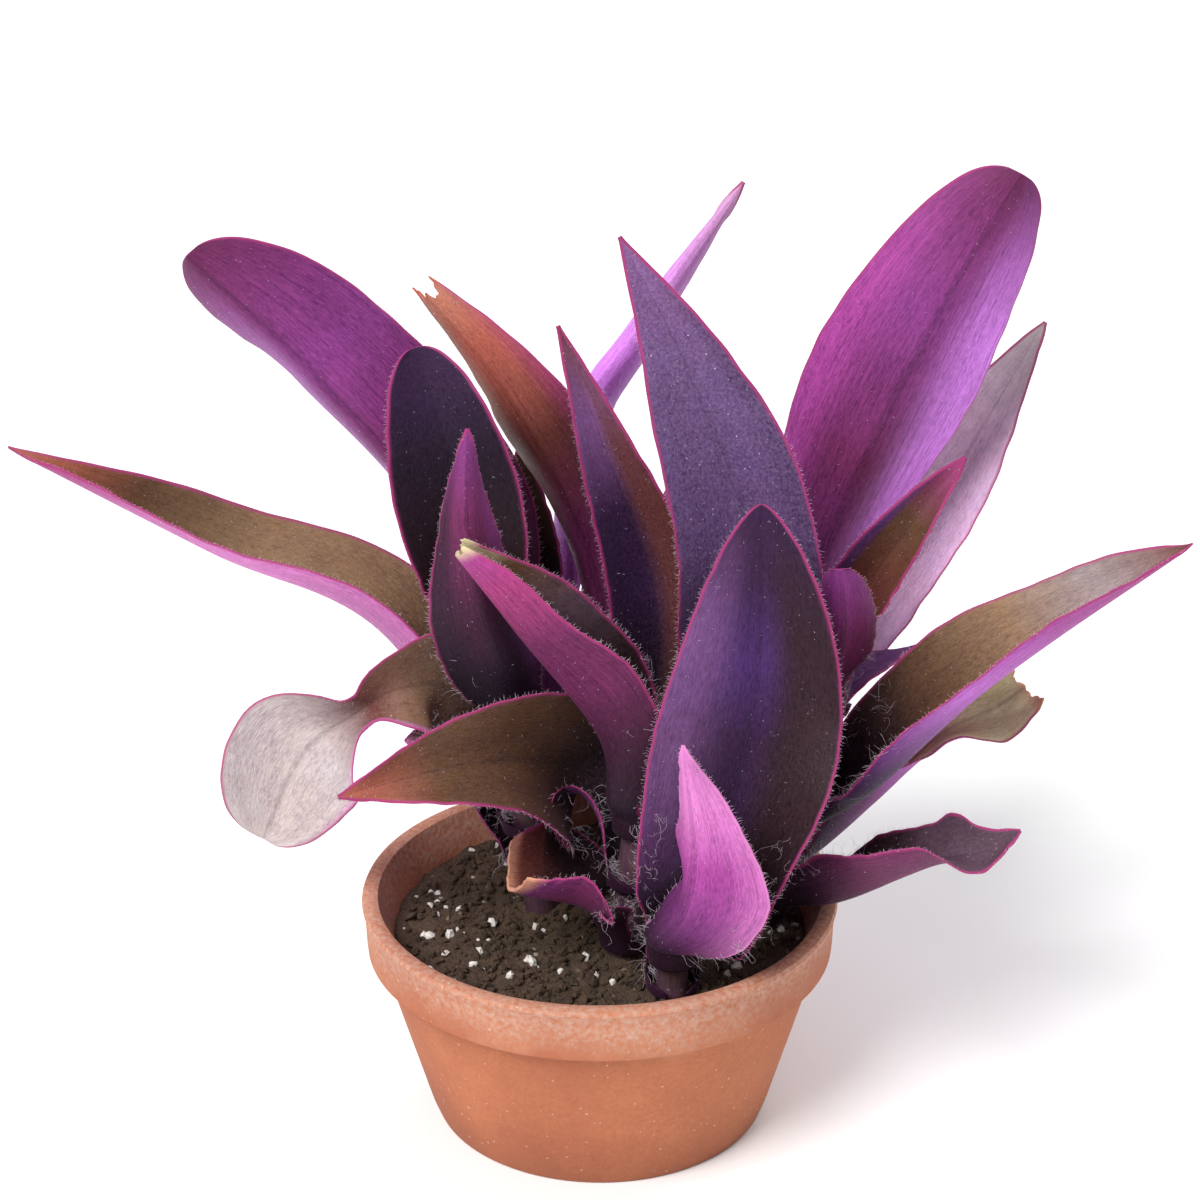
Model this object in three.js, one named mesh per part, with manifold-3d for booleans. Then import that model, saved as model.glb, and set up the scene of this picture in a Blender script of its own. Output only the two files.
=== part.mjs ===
// Potted purple heart: a clump of nine short stems with folded strap leaves in a low clay pot.
// Millimetres, +Z up, +X to the right of the plant's front, origin at the middle of the pot's foot.

import * as THREE from 'three';
import { mergeVertices } from 'three/addons/utils/BufferGeometryUtils.js';
import Module from 'manifold-3d';

const wasm = await Module();
wasm.setup();

// Pot and soil
const POT_HEIGHT = 52;
const POT_FOOT_RADIUS = 37;
const POT_RIM_RADIUS = 52;
const POT_WALL = 4;
const POT_FLOOR = 5;
const BAND_HEIGHT = 13;
const BAND_STEP = 3;
const LIP_ROUND = 1.2;
const DRAIN_RADIUS = 4;
const DRAIN_CIRCLE = 20;
const DRAIN_COUNT = 3;
const SOIL_TOP = 44;
const HOLE_DEPTH = 26;
const GAP = 0.3;
const ROUND_STEPS = 48;

// Stems
const STEM_SIDES = 12;
const STEM_TIP_SHARE = 0.8;

// Leaves
const SHEATH_LENGTH = 5;
const SHEATH_FLARE = 0.8;
const SHEATH_TURN = 2.75;   // radians from the back of the sheath to its edge, at its foot
const MOUTH_TURN = 1.05;    // and at its mouth, where the blade sets off
const FACET_ROOM = 0.84;    // a six-sided wrap comes this much nearer than its corners
const MIDRIB_THICKNESS = 0.95;
const EDGE_THICKNESS = 0.65;
const TIP_HALF = 0.8;
const TIP_FLAT = 3;         // where half the blade is narrower than this, folds and waves fade
const START_RISE = 0.6;     // how the midrib sets off, up the stem and away from it
const START_LEAN = 0.8;
const UNROLL = 0.13;
const PINCH_SPREAD = 0.13;
const KEEL = 0.55;          // share of the fold that sits at the midrib
const KEEL_WIDTH = 0.13;
const ACROSS = 6;
const ROWS = [-1, -0.5, -0.2, 0, 0.05, 0.1, 0.16, 0.24, 0.33, 0.43, 0.53, 0.63, 0.73, 0.82, 0.9, 0.96, 1];
const TEAR = [0, 0.5, 0.9, 0.5, 0.7, 0.2, 0];
const TEAR_DEPTH = 0.035;

// Where each stem stands, how far it leans in 50 mm of height, and its radius
const STEMS = {
  front: { foot: [15, -32], lean: [2, -2], radius: 3.6 },
  low: { foot: [5, -14], lean: [5, -1], radius: 3.6 },
  centre: { foot: [13, 8], lean: [2, 3], radius: 4 },
  left: { foot: [-13, 6], lean: [-6, -2], radius: 4 },
  right: { foot: [34, -2], lean: [10, 3], radius: 4 },
  inner: { foot: [26, 9], lean: [0, 1], radius: 3.6 },
  rear_right: { foot: [25, 27], lean: [5, 8], radius: 4 },
  rear_left: { foot: [-16, 30], lean: [-6, 5], radius: 4 },
  rear: { foot: [5, 34], lean: [2, 8], radius: 3.6 },
};

// Outlines: width at the base, place of the widest point, and how the tip narrows
const FORMS = {
  blade: { base: 0.3, peak: 0.4, power: 1.55, sharp: 1 },
  boat: { base: 0.62, peak: 0.42, power: 1.7, sharp: 0.66 },
  curl: { base: 0.1, peak: 0.4, power: 1, sharp: 1 },
  flare: { base: 0.45, peak: 0.3, power: 2, sharp: 1 },
  lance: { base: 0.42, peak: 0.42, power: 1.7, sharp: 0.9 },
  oar: { base: 0.42, peak: 0.52, power: 2, sharp: 0.42 },
  slim: { base: 0.5, peak: 0.35, power: 1.7, sharp: 0.9 },
  spear: { base: 0.42, peak: 0.32, power: 1.5, sharp: 1 },
  spoon: { base: 0.42, peak: 0.5, power: 1.7, sharp: 0.45 },
};

// Each leaf wraps its stem at a height above the soil, on the side given in degrees from +X.
// Its midrib runs from there through the points of path. At each point, face is the way the
// upper side looks and fold is how far each half turns up, in radians; the last one holds on.
// Torn is where a broken tip ends. Pinch is where a crease narrows the blade, and by how much.
const LEAVES = [
  { name: 'leaf_front_tall', stem: 'front', height: 2, side: 100, width: 42, form: 'boat', wave: 0.6,
    path: [[24, -23, 71], [32, -16, 109], [33, -8, 146]],
    face: [[-0.2, -1, 0.2], [0, -1, 0.2]],
    fold: [0.9, 0.4] },
  { name: 'leaf_front_curl', stem: 'front', height: 9, side: -130, width: 33, form: 'curl', wave: 0.4,
    path: [[17, -43, 70], [19, -45, 86], [16.5, -44, 109]],
    face: [[0.9, 0.5, 0.1], [0.6, 0.8, 0], [0.4, 1, -0.1]],
    fold: [1.0, 0.9, 1.2] },
  { name: 'leaf_low_left_torn', stem: 'low', height: 2, side: 220, width: 36, form: 'lance', wave: 0.5,
    torn: 0.8,
    path: [[-4, -17, 59], [-12, -21, 62], [-26, -26, 68.5]],
    face: [[0.6, 0, 0.8], [0.3, 0, 0.9]],
    fold: [0.5, 1.1] },
  { name: 'leaf_low_left_brown', stem: 'low', height: 17, side: 129, width: 38, form: 'spear', wave: 1.4,
    path: [[-3, 2, 80], [-25, -19, 92.5], [-54, -28, 89]],
    face: [[0.5, -0.9, 0.1], [0.1, -0.8, 0.5]],
    fold: [0.7, 0.8] },
  { name: 'leaf_left_torn_pink', stem: 'low', height: 30, side: 215, width: 36, form: 'lance', wave: 0.6,
    torn: 0.95,
    path: [[0, -16, 97], [-17, -18, 122.5], [-32, -19, 144]],
    face: [[0.9, 0.1, 0.4], [0.8, -0.1, 0.5]],
    fold: [1.5, 1.5] },
  { name: 'leaf_rear_left_torn', stem: 'centre', height: 3, side: 162, width: 32, form: 'lance', wave: 0.6,
    torn: 0.95,
    path: [[0, 37, 107], [-18, 34, 151.5], [-44, 45, 181.5]],
    face: [[0.1, 1, -0.2], [0.3, 1, 0]],
    fold: [1.7, 0.9] },
  { name: 'leaf_centre_dark', stem: 'centre', height: 21.5, side: 102, width: 25, form: 'spear', wave: 0.5,
    path: [[12, 28, 109], [0, 29, 146.5], [-9, 34, 170]],
    face: [[0.1, -1, 0.1], [0.1, -1, 0.2]],
    fold: [0.7, 0.6] },
  { name: 'leaf_left_droop', stem: 'left', height: 32.5, side: 194, width: 35, form: 'oar', wave: 0.6,
    pinch: [0.5, 0.7],
    path: [[-32, -2, 101], [-42, -8, 104.5], [-51, -6, 98], [-63, -7, 88.5], [-73, -3, 66]],
    face: [[0.2, -1, 0.2], [0.2, -0.9, 0.3], [0.1, -0.9, 0.4], [0.1, -0.9, 0.4], [0.1, -0.9, 0.3]],
    fold: [0.4, 0.8, 1.2, 0.3, 0.3] },
  { name: 'leaf_far_left', stem: 'left', height: 10, side: 132, width: 31, form: 'slim', wave: 0.5,
    path: [[-46, 14, 107], [-83, 16, 126], [-124.5, 14, 150]],
    face: [[0.7, -0.1, 0.8], [0.4, -0.2, 0.9]],
    fold: [1.05, 1] },
  { name: 'leaf_left_dark', stem: 'left', height: 20.5, side: 131, width: 32, form: 'spoon', wave: 0.5,
    path: [[-26, 18, 113], [-33, 19, 147.5], [-39, 26, 168]],
    face: [[0.1, -1, 0.1], [0.1, -1, 0.2]],
    fold: [1.15, 0.4] },
  { name: 'leaf_left_young', stem: 'left', height: 44, side: -74, width: 26, form: 'flare', wave: 0.3,
    path: [[-23.5, -12, 121.5], [-27, -10, 143], [-27, -4, 161]],
    face: [[-0.4, 0.9, 0], [-0.1, 1, -0.1]],
    fold: [0.9, 1.1] },
  { name: 'leaf_low_right', stem: 'right', height: 2.5, side: -48, width: 29, form: 'lance', wave: 0.6,
    path: [[52, -14, 57], [70, -20, 69], [81, -22, 73], [88, -22, 78]],
    face: [[-0.2, 0.5, 0.8], [-0.4, 0.3, 0.9], [-0.4, -0.6, 0.7]],
    fold: [1.1, 0.8, 0.8] },
  { name: 'leaf_right_torn', stem: 'right', height: 10.5, side: 12, width: 30, form: 'spoon', wave: 0.8,
    torn: 0.93,
    path: [[60, 13, 66.5], [75, 16, 81], [88, 18, 88], [98, 20, 96]],
    face: [[-0.6, 0.1, 0.8], [-0.6, 0, 0.8], [-0.1, -0.9, 0.4]],
    fold: [0.8, 0.5, 1.2] },
  { name: 'leaf_far_right', stem: 'right', height: 21, side: -18, width: 37, form: 'lance', wave: 0.6,
    path: [[58.5, -3, 78.5], [83, -10, 108], [121, -12, 139]],
    face: [[-0.6, -0.2, 0.8], [-0.7, 0, 0.7]],
    fold: [1.05, 0.8] },
  { name: 'leaf_right_sliver', stem: 'right', height: 32.5, side: 40, width: 20, form: 'lance', wave: 0.4,
    path: [[49.5, 19, 83.5], [57, 21, 92], [69.5, 26, 98.5]],
    face: [[-0.6, -0.1, 0.8], [-0.7, -0.1, 0.7]],
    fold: [0.35, 0.4] },
  { name: 'leaf_right_bud', stem: 'right', height: 52, side: -48, width: 20, form: 'spoon', wave: 0.3,
    path: [[50, -4, 108], [51, -4, 117.5], [50, -2, 129]],
    face: [[0.2, 0.9, -0.2], [0.1, 1, -0.2]],
    fold: [1.2, 1.1] },
  { name: 'leaf_rear_right_low', stem: 'rear_right', height: 3, side: 71, width: 32, form: 'lance', wave: 0.9,
    path: [[44, 55, 64.5], [58, 78, 78], [74, 104, 74]],
    face: [[-0.3, -0.5, 0.8], [0.2, 0.4, 0.9]],
    fold: [0.9, 0.7] },
  { name: 'leaf_rear_right_pale', stem: 'rear_right', height: 12, side: 42, width: 34, form: 'lance',
    wave: 0.6,
    path: [[65, 59, 96.5], [86, 70, 130], [101.5, 76, 156.5]],
    face: [[-0.2, -0.9, 0.5], [-0.3, -0.8, 0.5]],
    fold: [1.2, 0.7] },
  { name: 'leaf_tall_right', stem: 'rear_right', height: 22, side: -48, width: 44, form: 'oar', wave: 0.6,
    path: [[50, 39, 116.5], [70, 42, 163], [90, 46, 200]],
    face: [[0, 1, -0.1], [-0.1, 1, -0.1]],
    fold: [1.1, 0.6] },
  { name: 'leaf_right_young_brown', stem: 'right', height: 42, side: 31, width: 19, form: 'lance',
    wave: 0.4,
    path: [[56, 22, 109.5], [67, 21, 129.5], [78.5, 26, 143]],
    face: [[-0.4, -0.9, 0.1], [-0.4, -0.9, 0.3]],
    fold: [1, 0.8] },
  { name: 'leaf_tall_centre', stem: 'inner', height: 10, side: 74, width: 38, form: 'blade', wave: 0.5,
    path: [[32, 14, 124], [19, 13, 165.5], [4, 14, 196]],
    face: [[0, -1, -0.2], [0.1, -1, 0]],
    fold: [0.8, 0.3] },
  { name: 'leaf_rear_left_low', stem: 'rear_left', height: 3, side: 102, width: 31, form: 'lance', wave: 0.9,
    path: [[-26, 56, 66], [-38, 78, 82], [-52, 104, 80]],
    face: [[0.2, -0.5, 0.8], [-0.2, 0.4, 0.9]],
    fold: [0.9, 0.7] },
  { name: 'leaf_rear_dark', stem: 'rear_left', height: 33, side: 99, width: 17, form: 'lance', wave: 0.4,
    path: [[-16, 43, 94.5], [-15, 52, 110], [-18, 55, 135.5]],
    face: [[0, -1, 0.3], [0, -1, 0.2]],
    fold: [1, 0.9] },
  { name: 'leaf_upper_left', stem: 'rear_left', height: 23, side: 191, width: 45, form: 'oar', wave: 0.6,
    path: [[-33, 28, 123.5], [-61.5, 32, 160.5], [-87.5, 35, 185.5]],
    face: [[0.3, 0.9, 0.2], [0.3, 0.9, 0.1]],
    fold: [1.2, 1.1, 0.55] },
  { name: 'leaf_rear_thin', stem: 'rear_left', height: 13, side: 41, width: 26, form: 'lance', wave: 0.3,
    path: [[-6, 63, 129.5], [9, 69, 156.5], [32, 74, 190]],
    face: [[0.2, 0.9, -0.3], [0.1, 0.9, -0.3]],
    fold: [1.65, 1.6] },
  { name: 'leaf_rear_arch', stem: 'rear', height: 2, side: 71, width: 33, form: 'lance', wave: 1,
    path: [[8, 68, 72], [10, 92, 92], [14, 122, 89]],
    face: [[0, -0.6, 0.8], [0, 0.3, 0.9]],
    fold: [0.9, 0.7] },
  { name: 'leaf_rear_upright', stem: 'rear', height: 14, side: 71, width: 34, form: 'lance', wave: 0.6,
    path: [[20, 60, 92], [25, 68, 115], [27, 80, 136]],
    face: [[0, -1, 0.3], [0, -1, 0.4]],
    fold: [0.9, 0.6] },
];

function material(colour, roughness) {
  return new THREE.MeshStandardMaterial({ color: colour, roughness, metalness: 0 });
}

const CLAY = material(0xb5694a, 0.85);
const SOIL = material(0x3b2a20, 0.95);
const STEM = material(0x7c4673, 0.55);
const LEAF = material(0x6a2a63, 0.5);

function smooth(from, to, x) {
  const k = Math.min(Math.max((x - from) / (to - from), 0), 1);
  return k * k * (3 - 2 * k);
}

function solidOf(geometry) {
  const bare = geometry.clone();
  bare.deleteAttribute('normal');
  bare.deleteAttribute('uv');
  const merged = mergeVertices(bare, 1e-4);
  return new wasm.Manifold(new wasm.Mesh({
    numProp: 3,
    vertProperties: new Float32Array(merged.attributes.position.array),
    triVerts: new Uint32Array(merged.index.array),
  }));
}

function geometryOf(solid) {
  const mesh = solid.getMesh();
  const geometry = new THREE.BufferGeometry();
  geometry.setAttribute('position', new THREE.BufferAttribute(new Float32Array(mesh.vertProperties), 3));
  geometry.setIndex(new THREE.BufferAttribute(new Uint32Array(mesh.triVerts), 1));
  geometry.computeVertexNormals();
  return geometry;
}

function turned(profile, steps) {
  const points = profile.map(([radius, height]) => new THREE.Vector2(radius, height));
  return new THREE.LatheGeometry(points, steps).rotateX(Math.PI / 2);
}

// Pot: a tapered bowl with a rim band and a rounded lip
const BAND_FOOT = POT_HEIGHT - BAND_HEIGHT;
const BAND_RADIUS = POT_RIM_RADIUS - 1;
const TAPER = (BAND_RADIUS - BAND_STEP - POT_FOOT_RADIUS) / BAND_FOOT;

function innerRadius(height) {
  return POT_FOOT_RADIUS + TAPER * height - POT_WALL + 0.5 * smooth(BAND_FOOT, POT_HEIGHT, height);
}

function potGeometry() {
  const profile = [
    [0, 0],
    [POT_FOOT_RADIUS - 1, 0],
    [POT_FOOT_RADIUS, 1],
    [POT_FOOT_RADIUS + TAPER * BAND_FOOT, BAND_FOOT],
    [BAND_RADIUS, BAND_FOOT + 1],
    [POT_RIM_RADIUS, POT_HEIGHT - LIP_ROUND],
    [POT_RIM_RADIUS - LIP_ROUND, POT_HEIGHT],
    [innerRadius(POT_HEIGHT) + LIP_ROUND, POT_HEIGHT],
    [innerRadius(POT_HEIGHT), POT_HEIGHT - LIP_ROUND],
    [innerRadius(POT_FLOOR), POT_FLOOR],
    [0, POT_FLOOR],
  ];
  let pot = solidOf(turned(profile, ROUND_STEPS));
  for (let i = 0; i < DRAIN_COUNT; i += 1) {
    const angle = (i + 0.5) * 2 * Math.PI / DRAIN_COUNT;
    const hole = new THREE.CylinderGeometry(DRAIN_RADIUS, DRAIN_RADIUS, 4 * POT_FLOOR, 20);
    hole.rotateX(Math.PI / 2);
    hole.translate(DRAIN_CIRCLE * Math.cos(angle), DRAIN_CIRCLE * Math.sin(angle), 0);
    pot = pot.subtract(solidOf(hole));
  }
  return geometryOf(pot);
}

// A stem's axis, from the middle of its foot at the soil's surface
function stemAxis(stem) {
  return new THREE.Vector3(stem.lean[0], stem.lean[1], 50).normalize();
}

function alongStem(stem, height) {
  const foot = new THREE.Vector3(stem.foot[0], stem.foot[1], SOIL_TOP);
  return foot.addScaledVector(stemAxis(stem), height);
}

function rodGeometry(stem, profile, sides) {
  const rod = turned(profile, sides);
  const turn = new THREE.Quaternion().setFromUnitVectors(new THREE.Vector3(0, 0, 1), stemAxis(stem));
  rod.applyQuaternion(turn);
  const foot = alongStem(stem, 0);
  return rod.translate(foot.x, foot.y, foot.z);
}

function stemGeometry(key) {
  const stem = STEMS[key];
  const top = Math.max(...LEAVES.filter((leaf) => leaf.stem === key).map((leaf) => leaf.height));
  const end = top + SHEATH_LENGTH - 1;
  const profile = [
    [0, GAP - HOLE_DEPTH],
    [stem.radius, GAP - HOLE_DEPTH],
    [stem.radius, end - 1],
    [stem.radius * STEM_TIP_SHARE, end],
    [0, end],
  ];
  return rodGeometry(stem, profile, STEM_SIDES);
}

function soilGeometry() {
  const profile = [
    [0, POT_FLOOR + GAP],
    [innerRadius(POT_FLOOR) - GAP, POT_FLOOR + GAP],
    [innerRadius(SOIL_TOP) - 2 * GAP, SOIL_TOP],
    [0, SOIL_TOP],
  ];
  let soil = solidOf(turned(profile, ROUND_STEPS));
  for (const stem of Object.values(STEMS)) {
    const radius = stem.radius + 1.5 * GAP;
    const hole = [[0, -HOLE_DEPTH], [radius, -HOLE_DEPTH], [radius, HOLE_DEPTH], [0, HOLE_DEPTH]];
    soil = soil.subtract(solidOf(rodGeometry(stem, hole, STEM_SIDES)));
  }
  return geometryOf(soil);
}

// Half the width of a leaf, as a share of its greatest, from the sheath at 0 to the tip at 1
function outline(form, t) {
  if (t < form.peak) {
    return 1 - (1 - form.base) * (1 - t / form.peak) ** 2;
  }
  const x = (t - form.peak) / (1 - form.peak);
  return Math.max(1 - x ** form.power, 0) ** form.sharp;
}

function crease(leaf, t) {
  if (!leaf.pinch) {
    return 1;
  }
  const [place, depth] = leaf.pinch;
  return 1 - depth * Math.exp(-(((t - place) / PINCH_SPREAD) ** 2));
}

// The midrib: smooth cubic pieces through the path, measured along its length
function midrib(mouth, start, path) {
  const knots = [mouth, ...path.map((p) => new THREE.Vector3(...p))];
  const last = knots.length - 1;
  const pulls = knots.map((knot, i) => {
    if (i === 0) {
      return start.clone().multiplyScalar(knots[1].distanceTo(mouth));
    }
    if (i === last) {
      return knot.clone().sub(knots[i - 1]).multiplyScalar(0.9);
    }
    return knots[i + 1].clone().sub(knots[i - 1]).multiplyScalar(0.5);
  });
  const steps = 40;
  const points = [mouth.clone()];
  const lengths = [0];
  const marks = [0];
  for (let i = 0; i < last; i += 1) {
    for (let k = 1; k <= steps; k += 1) {
      const x = k / steps;
      const point = new THREE.Vector3()
        .addScaledVector(knots[i], 2 * x ** 3 - 3 * x ** 2 + 1)
        .addScaledVector(pulls[i], x ** 3 - 2 * x ** 2 + x)
        .addScaledVector(knots[i + 1], 3 * x ** 2 - 2 * x ** 3)
        .addScaledVector(pulls[i + 1], x ** 3 - x ** 2);
      lengths.push(lengths.at(-1) + point.distanceTo(points.at(-1)));
      points.push(point);
    }
    marks.push(lengths.at(-1));
  }
  const whole = lengths.at(-1);
  const at = (t) => {
    const want = Math.min(Math.max(t, 0), 1) * whole;
    let k = 1;
    while (k < lengths.length - 1 && lengths[k] < want) {
      k += 1;
    }
    const share = (want - lengths[k - 1]) / (lengths[k] - lengths[k - 1]);
    return points[k - 1].clone().lerp(points[k], share);
  };
  return { at, marks: marks.map((length) => length / whole) };
}

// Everything that a leaf's cross sections need, worked out once
function leafPlan(leaf) {
  const stem = STEMS[leaf.stem];
  const axis = stemAxis(stem);
  const angle = THREE.MathUtils.degToRad(leaf.side);
  const out = new THREE.Vector3(Math.cos(angle), Math.sin(angle), 0);
  out.addScaledVector(axis, -out.dot(axis)).normalize();
  const wrap = (stem.radius + GAP) / FACET_ROOM + EDGE_THICKNESS / 2;
  const base = alongStem(stem, leaf.height + GAP).addScaledVector(out, wrap);
  const mouth = base.clone().addScaledVector(axis, SHEATH_LENGTH).addScaledVector(out, SHEATH_FLARE);
  const start = axis.clone().multiplyScalar(START_RISE).addScaledVector(out, START_LEAN).normalize();
  const faces = [out.clone().negate(), ...leaf.face.map((f) => new THREE.Vector3(...f).normalize())];
  const folds = [leaf.fold[0], ...leaf.fold];
  while (faces.length < leaf.path.length + 1) {
    faces.push(faces.at(-1));
    folds.push(folds.at(-1));
  }
  const form = FORMS[leaf.form];
  return { leaf, axis, out, wrap, base, start, faces, folds, form, ...midrib(mouth, start, leaf.path) };
}

// One cross section: the sheath runs from -1 to 0 and the blade from 0 to 1
function crossSection(plan, t) {
  if (t < 0) {
    const rise = 1 + t;
    const centre = plan.base.clone()
      .addScaledVector(plan.axis, rise * SHEATH_LENGTH)
      .addScaledVector(plan.out, rise * SHEATH_FLARE);
    const face = plan.out.clone().negate();
    const side = plan.axis.clone().cross(face);
    const turn = SHEATH_TURN + (MOUTH_TURN - SHEATH_TURN) * smooth(0.2, 1, rise);
    return { centre, side, face, turn, keel: 0, half: turn * (plan.wrap + rise * SHEATH_FLARE) };
  }
  const step = 0.01;
  const ahead = plan.at(t + step).sub(plan.at(t - step)).normalize();
  const along = t === 0 ? plan.start : ahead;
  let span = 0;
  while (span < plan.marks.length - 2 && t > plan.marks[span + 1]) {
    span += 1;
  }
  const mix = smooth(plan.marks[span], plan.marks[span + 1], t);
  const face = plan.faces[span].clone().lerp(plan.faces[span + 1], mix);
  face.addScaledVector(along, -face.dot(along)).normalize();
  const side = along.clone().cross(face);
  const open = smooth(0, UNROLL, t);
  const fold = plan.folds[span] * (1 - mix) + plan.folds[span + 1] * mix;
  const wrapped = MOUTH_TURN * (plan.wrap + SHEATH_FLARE);
  const spread = plan.leaf.width / 2 * outline(plan.form, t) * crease(plan.leaf, t);
  const half = Math.hypot(wrapped * (1 - open) + spread * open, TIP_HALF);
  const turn = (MOUTH_TURN * (1 - open) + fold * open) * Math.min(half / TIP_FLAT, 1);
  return { centre: plan.at(t), side, face, turn, keel: KEEL * open, half };
}

// Direction of the surface at s, from -1 at one edge to 1 at the other
function bend(section, s) {
  const sharp = Math.tanh(s / KEEL_WIDTH) / Math.tanh(1 / KEEL_WIDTH);
  return section.turn * (s * (1 - section.keel) + sharp * section.keel);
}

// Point and normal of a leaf's middle surface
function onLeaf(plan, t, s) {
  const section = crossSection(plan, t);
  const parts = 24;
  let across = 0;
  let up = 0;
  for (let k = 0; k < parts; k += 1) {
    const angle = bend(section, s * (k + 0.5) / parts);
    across += Math.cos(angle) * s / parts;
    up += Math.sin(angle) * s / parts;
  }
  const fade = smooth(0.15, 0.4, t) * Math.min(section.half / TIP_FLAT, 1);
  const ripple = plan.leaf.wave * s * s * fade * Math.sin(17 * t + 1.3 * s + plan.leaf.side);
  const angle = bend(section, s);
  const normal = section.face.clone().multiplyScalar(Math.cos(angle))
    .addScaledVector(section.side, -Math.sin(angle));
  const point = section.centre
    .addScaledVector(section.side, section.half * across)
    .addScaledVector(section.face, section.half * up + ripple);
  return { point, normal };
}

// A closed shell over the grid of points, split into triangles alike on both faces
function leafGeometry(leaf) {
  const plan = leafPlan(leaf);
  const end = leaf.torn ?? 1;
  const upper = [];
  const lower = [];
  for (const row of ROWS) {
    for (let j = 0; j <= ACROSS; j += 1) {
      const s = 2 * j / ACROSS - 1;
      const tear = leaf.torn ? TEAR_DEPTH * TEAR[j] * smooth(0.7, 1, row) : 0;
      const { point, normal } = onLeaf(plan, row < 0 ? row : row * end - tear, s);
      const thick = MIDRIB_THICKNESS + (EDGE_THICKNESS - MIDRIB_THICKNESS) * Math.abs(s);
      upper.push(point.clone().addScaledVector(normal, thick / 2));
      lower.push(point.clone().addScaledVector(normal, -thick / 2));
    }
  }
  const width = ACROSS + 1;
  const shift = upper.length;
  const faces = [];
  const wall = (a, b) => faces.push(a, b, b + shift, a, b + shift, a + shift);
  for (let i = 0; i < ROWS.length - 1; i += 1) {
    for (let j = 0; j < ACROSS; j += 1) {
      const a = i * width + j;
      const b = a + 1;
      const c = a + width;
      const d = c + 1;
      faces.push(a, b, d, a, d, c);
      faces.push(a + shift, d + shift, b + shift, a + shift, c + shift, d + shift);
    }
    wall(i * width, (i + 1) * width);
    wall((i + 1) * width + ACROSS, i * width + ACROSS);
  }
  for (let j = 0; j < ACROSS; j += 1) {
    wall(j + 1, j);
    wall(shift - width + j, shift - width + j + 1);
  }
  const geometry = new THREE.BufferGeometry();
  const corners = [...upper, ...lower].flatMap((point) => point.toArray());
  geometry.setAttribute('position', new THREE.Float32BufferAttribute(corners, 3));
  geometry.setIndex(faces);
  geometry.computeVertexNormals();
  return geometry;
}

const group = new THREE.Group();

function add(name, geometry, finish) {
  const mesh = new THREE.Mesh(geometry, finish);
  mesh.name = name;
  group.add(mesh);
}

add('pot', potGeometry(), CLAY);
add('soil', soilGeometry(), SOIL);
for (const key of Object.keys(STEMS)) {
  add(`stem_${key}`, stemGeometry(key), STEM);
}
for (const leaf of LEAVES) {
  add(leaf.name, leafGeometry(leaf), LEAF);
}

export default group;
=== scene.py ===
# %% [markdown]
# # A purple heart in a clay pot
# Purple heart is a creeping house plant with fleshy strap leaves. Each leaf wraps its stem with a short
# sheath, folds along its midrib and opens towards the tip. Its upper side is a dull violet or olive under
# a bloom of fine hairs, and its under side is a bright magenta with fine parallel veins.
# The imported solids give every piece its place. They are rough, so each one is replaced here by a finer
# piece that follows the same curves.

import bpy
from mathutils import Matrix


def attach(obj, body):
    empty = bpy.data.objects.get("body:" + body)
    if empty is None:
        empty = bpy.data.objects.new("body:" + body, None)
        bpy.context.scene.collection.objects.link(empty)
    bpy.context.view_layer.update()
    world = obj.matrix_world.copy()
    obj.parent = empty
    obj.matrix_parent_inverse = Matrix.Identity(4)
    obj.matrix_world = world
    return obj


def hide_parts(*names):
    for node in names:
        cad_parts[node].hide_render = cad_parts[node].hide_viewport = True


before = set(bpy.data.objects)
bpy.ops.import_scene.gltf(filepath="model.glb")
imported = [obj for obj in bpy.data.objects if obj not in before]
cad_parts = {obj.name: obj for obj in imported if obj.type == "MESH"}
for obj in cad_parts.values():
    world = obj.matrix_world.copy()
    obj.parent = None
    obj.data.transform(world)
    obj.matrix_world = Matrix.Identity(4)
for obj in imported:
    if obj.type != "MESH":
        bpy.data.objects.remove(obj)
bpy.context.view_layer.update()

# %% Import what the lesson uses
import math

import bpy
import numpy as np
from mathutils import Quaternion, Vector

MM = 0.001
FULL_TURN = 2 * math.pi
SEED = 27
draw = np.random.default_rng(SEED)
print("one millimetre is", MM, "of Blender's metres")

# %% [markdown]
# ## The view
# The photograph looks down on the plant a little, from the front, with a long lens. A camera is placed by
# what it looks at, how far off it stands and how wide the picture is there, because those are easy to read
# from a photograph. The lens follows from them.

# %% Camera
LOOK_AT = Vector((0, 0, 121 * MM))
CAMERA_DISTANCE = 650 * MM
CAMERA_RISE = math.radians(24)
VIEW_WIDTH = 252 * MM
SENSOR = 36
NEAREST = 10 * MM


def add_camera():
    data = bpy.data.cameras.new("photo_view")
    data.sensor_fit = "HORIZONTAL"
    data.sensor_width = SENSOR
    data.lens = SENSOR * CAMERA_DISTANCE / VIEW_WIDTH
    data.clip_start = NEAREST
    camera = bpy.data.objects.new("photo_view", data)
    away = Vector((0, -math.cos(CAMERA_RISE), math.sin(CAMERA_RISE)))
    camera.location = LOOK_AT + CAMERA_DISTANCE * away
    camera.rotation_euler = (math.pi / 2 - CAMERA_RISE, 0, 0)
    bpy.context.collection.objects.link(camera)
    bpy.context.scene.camera = camera
    return data


print("lens:", round(add_camera().lens, 1), "mm")

# %% [markdown]
# ## Light
# The leaves were lit by a broad pale sky, with a brighter patch up on the left. A white world opens the
# shadows. Two very soft suns do the rest: one gives the leaves a lit side, and one from behind lights
# their edges. A sun lights the floor evenly, however far it reaches, so the ground stays plain.
# The plain view transform keeps magenta as strong as it is in the photograph.

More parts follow.
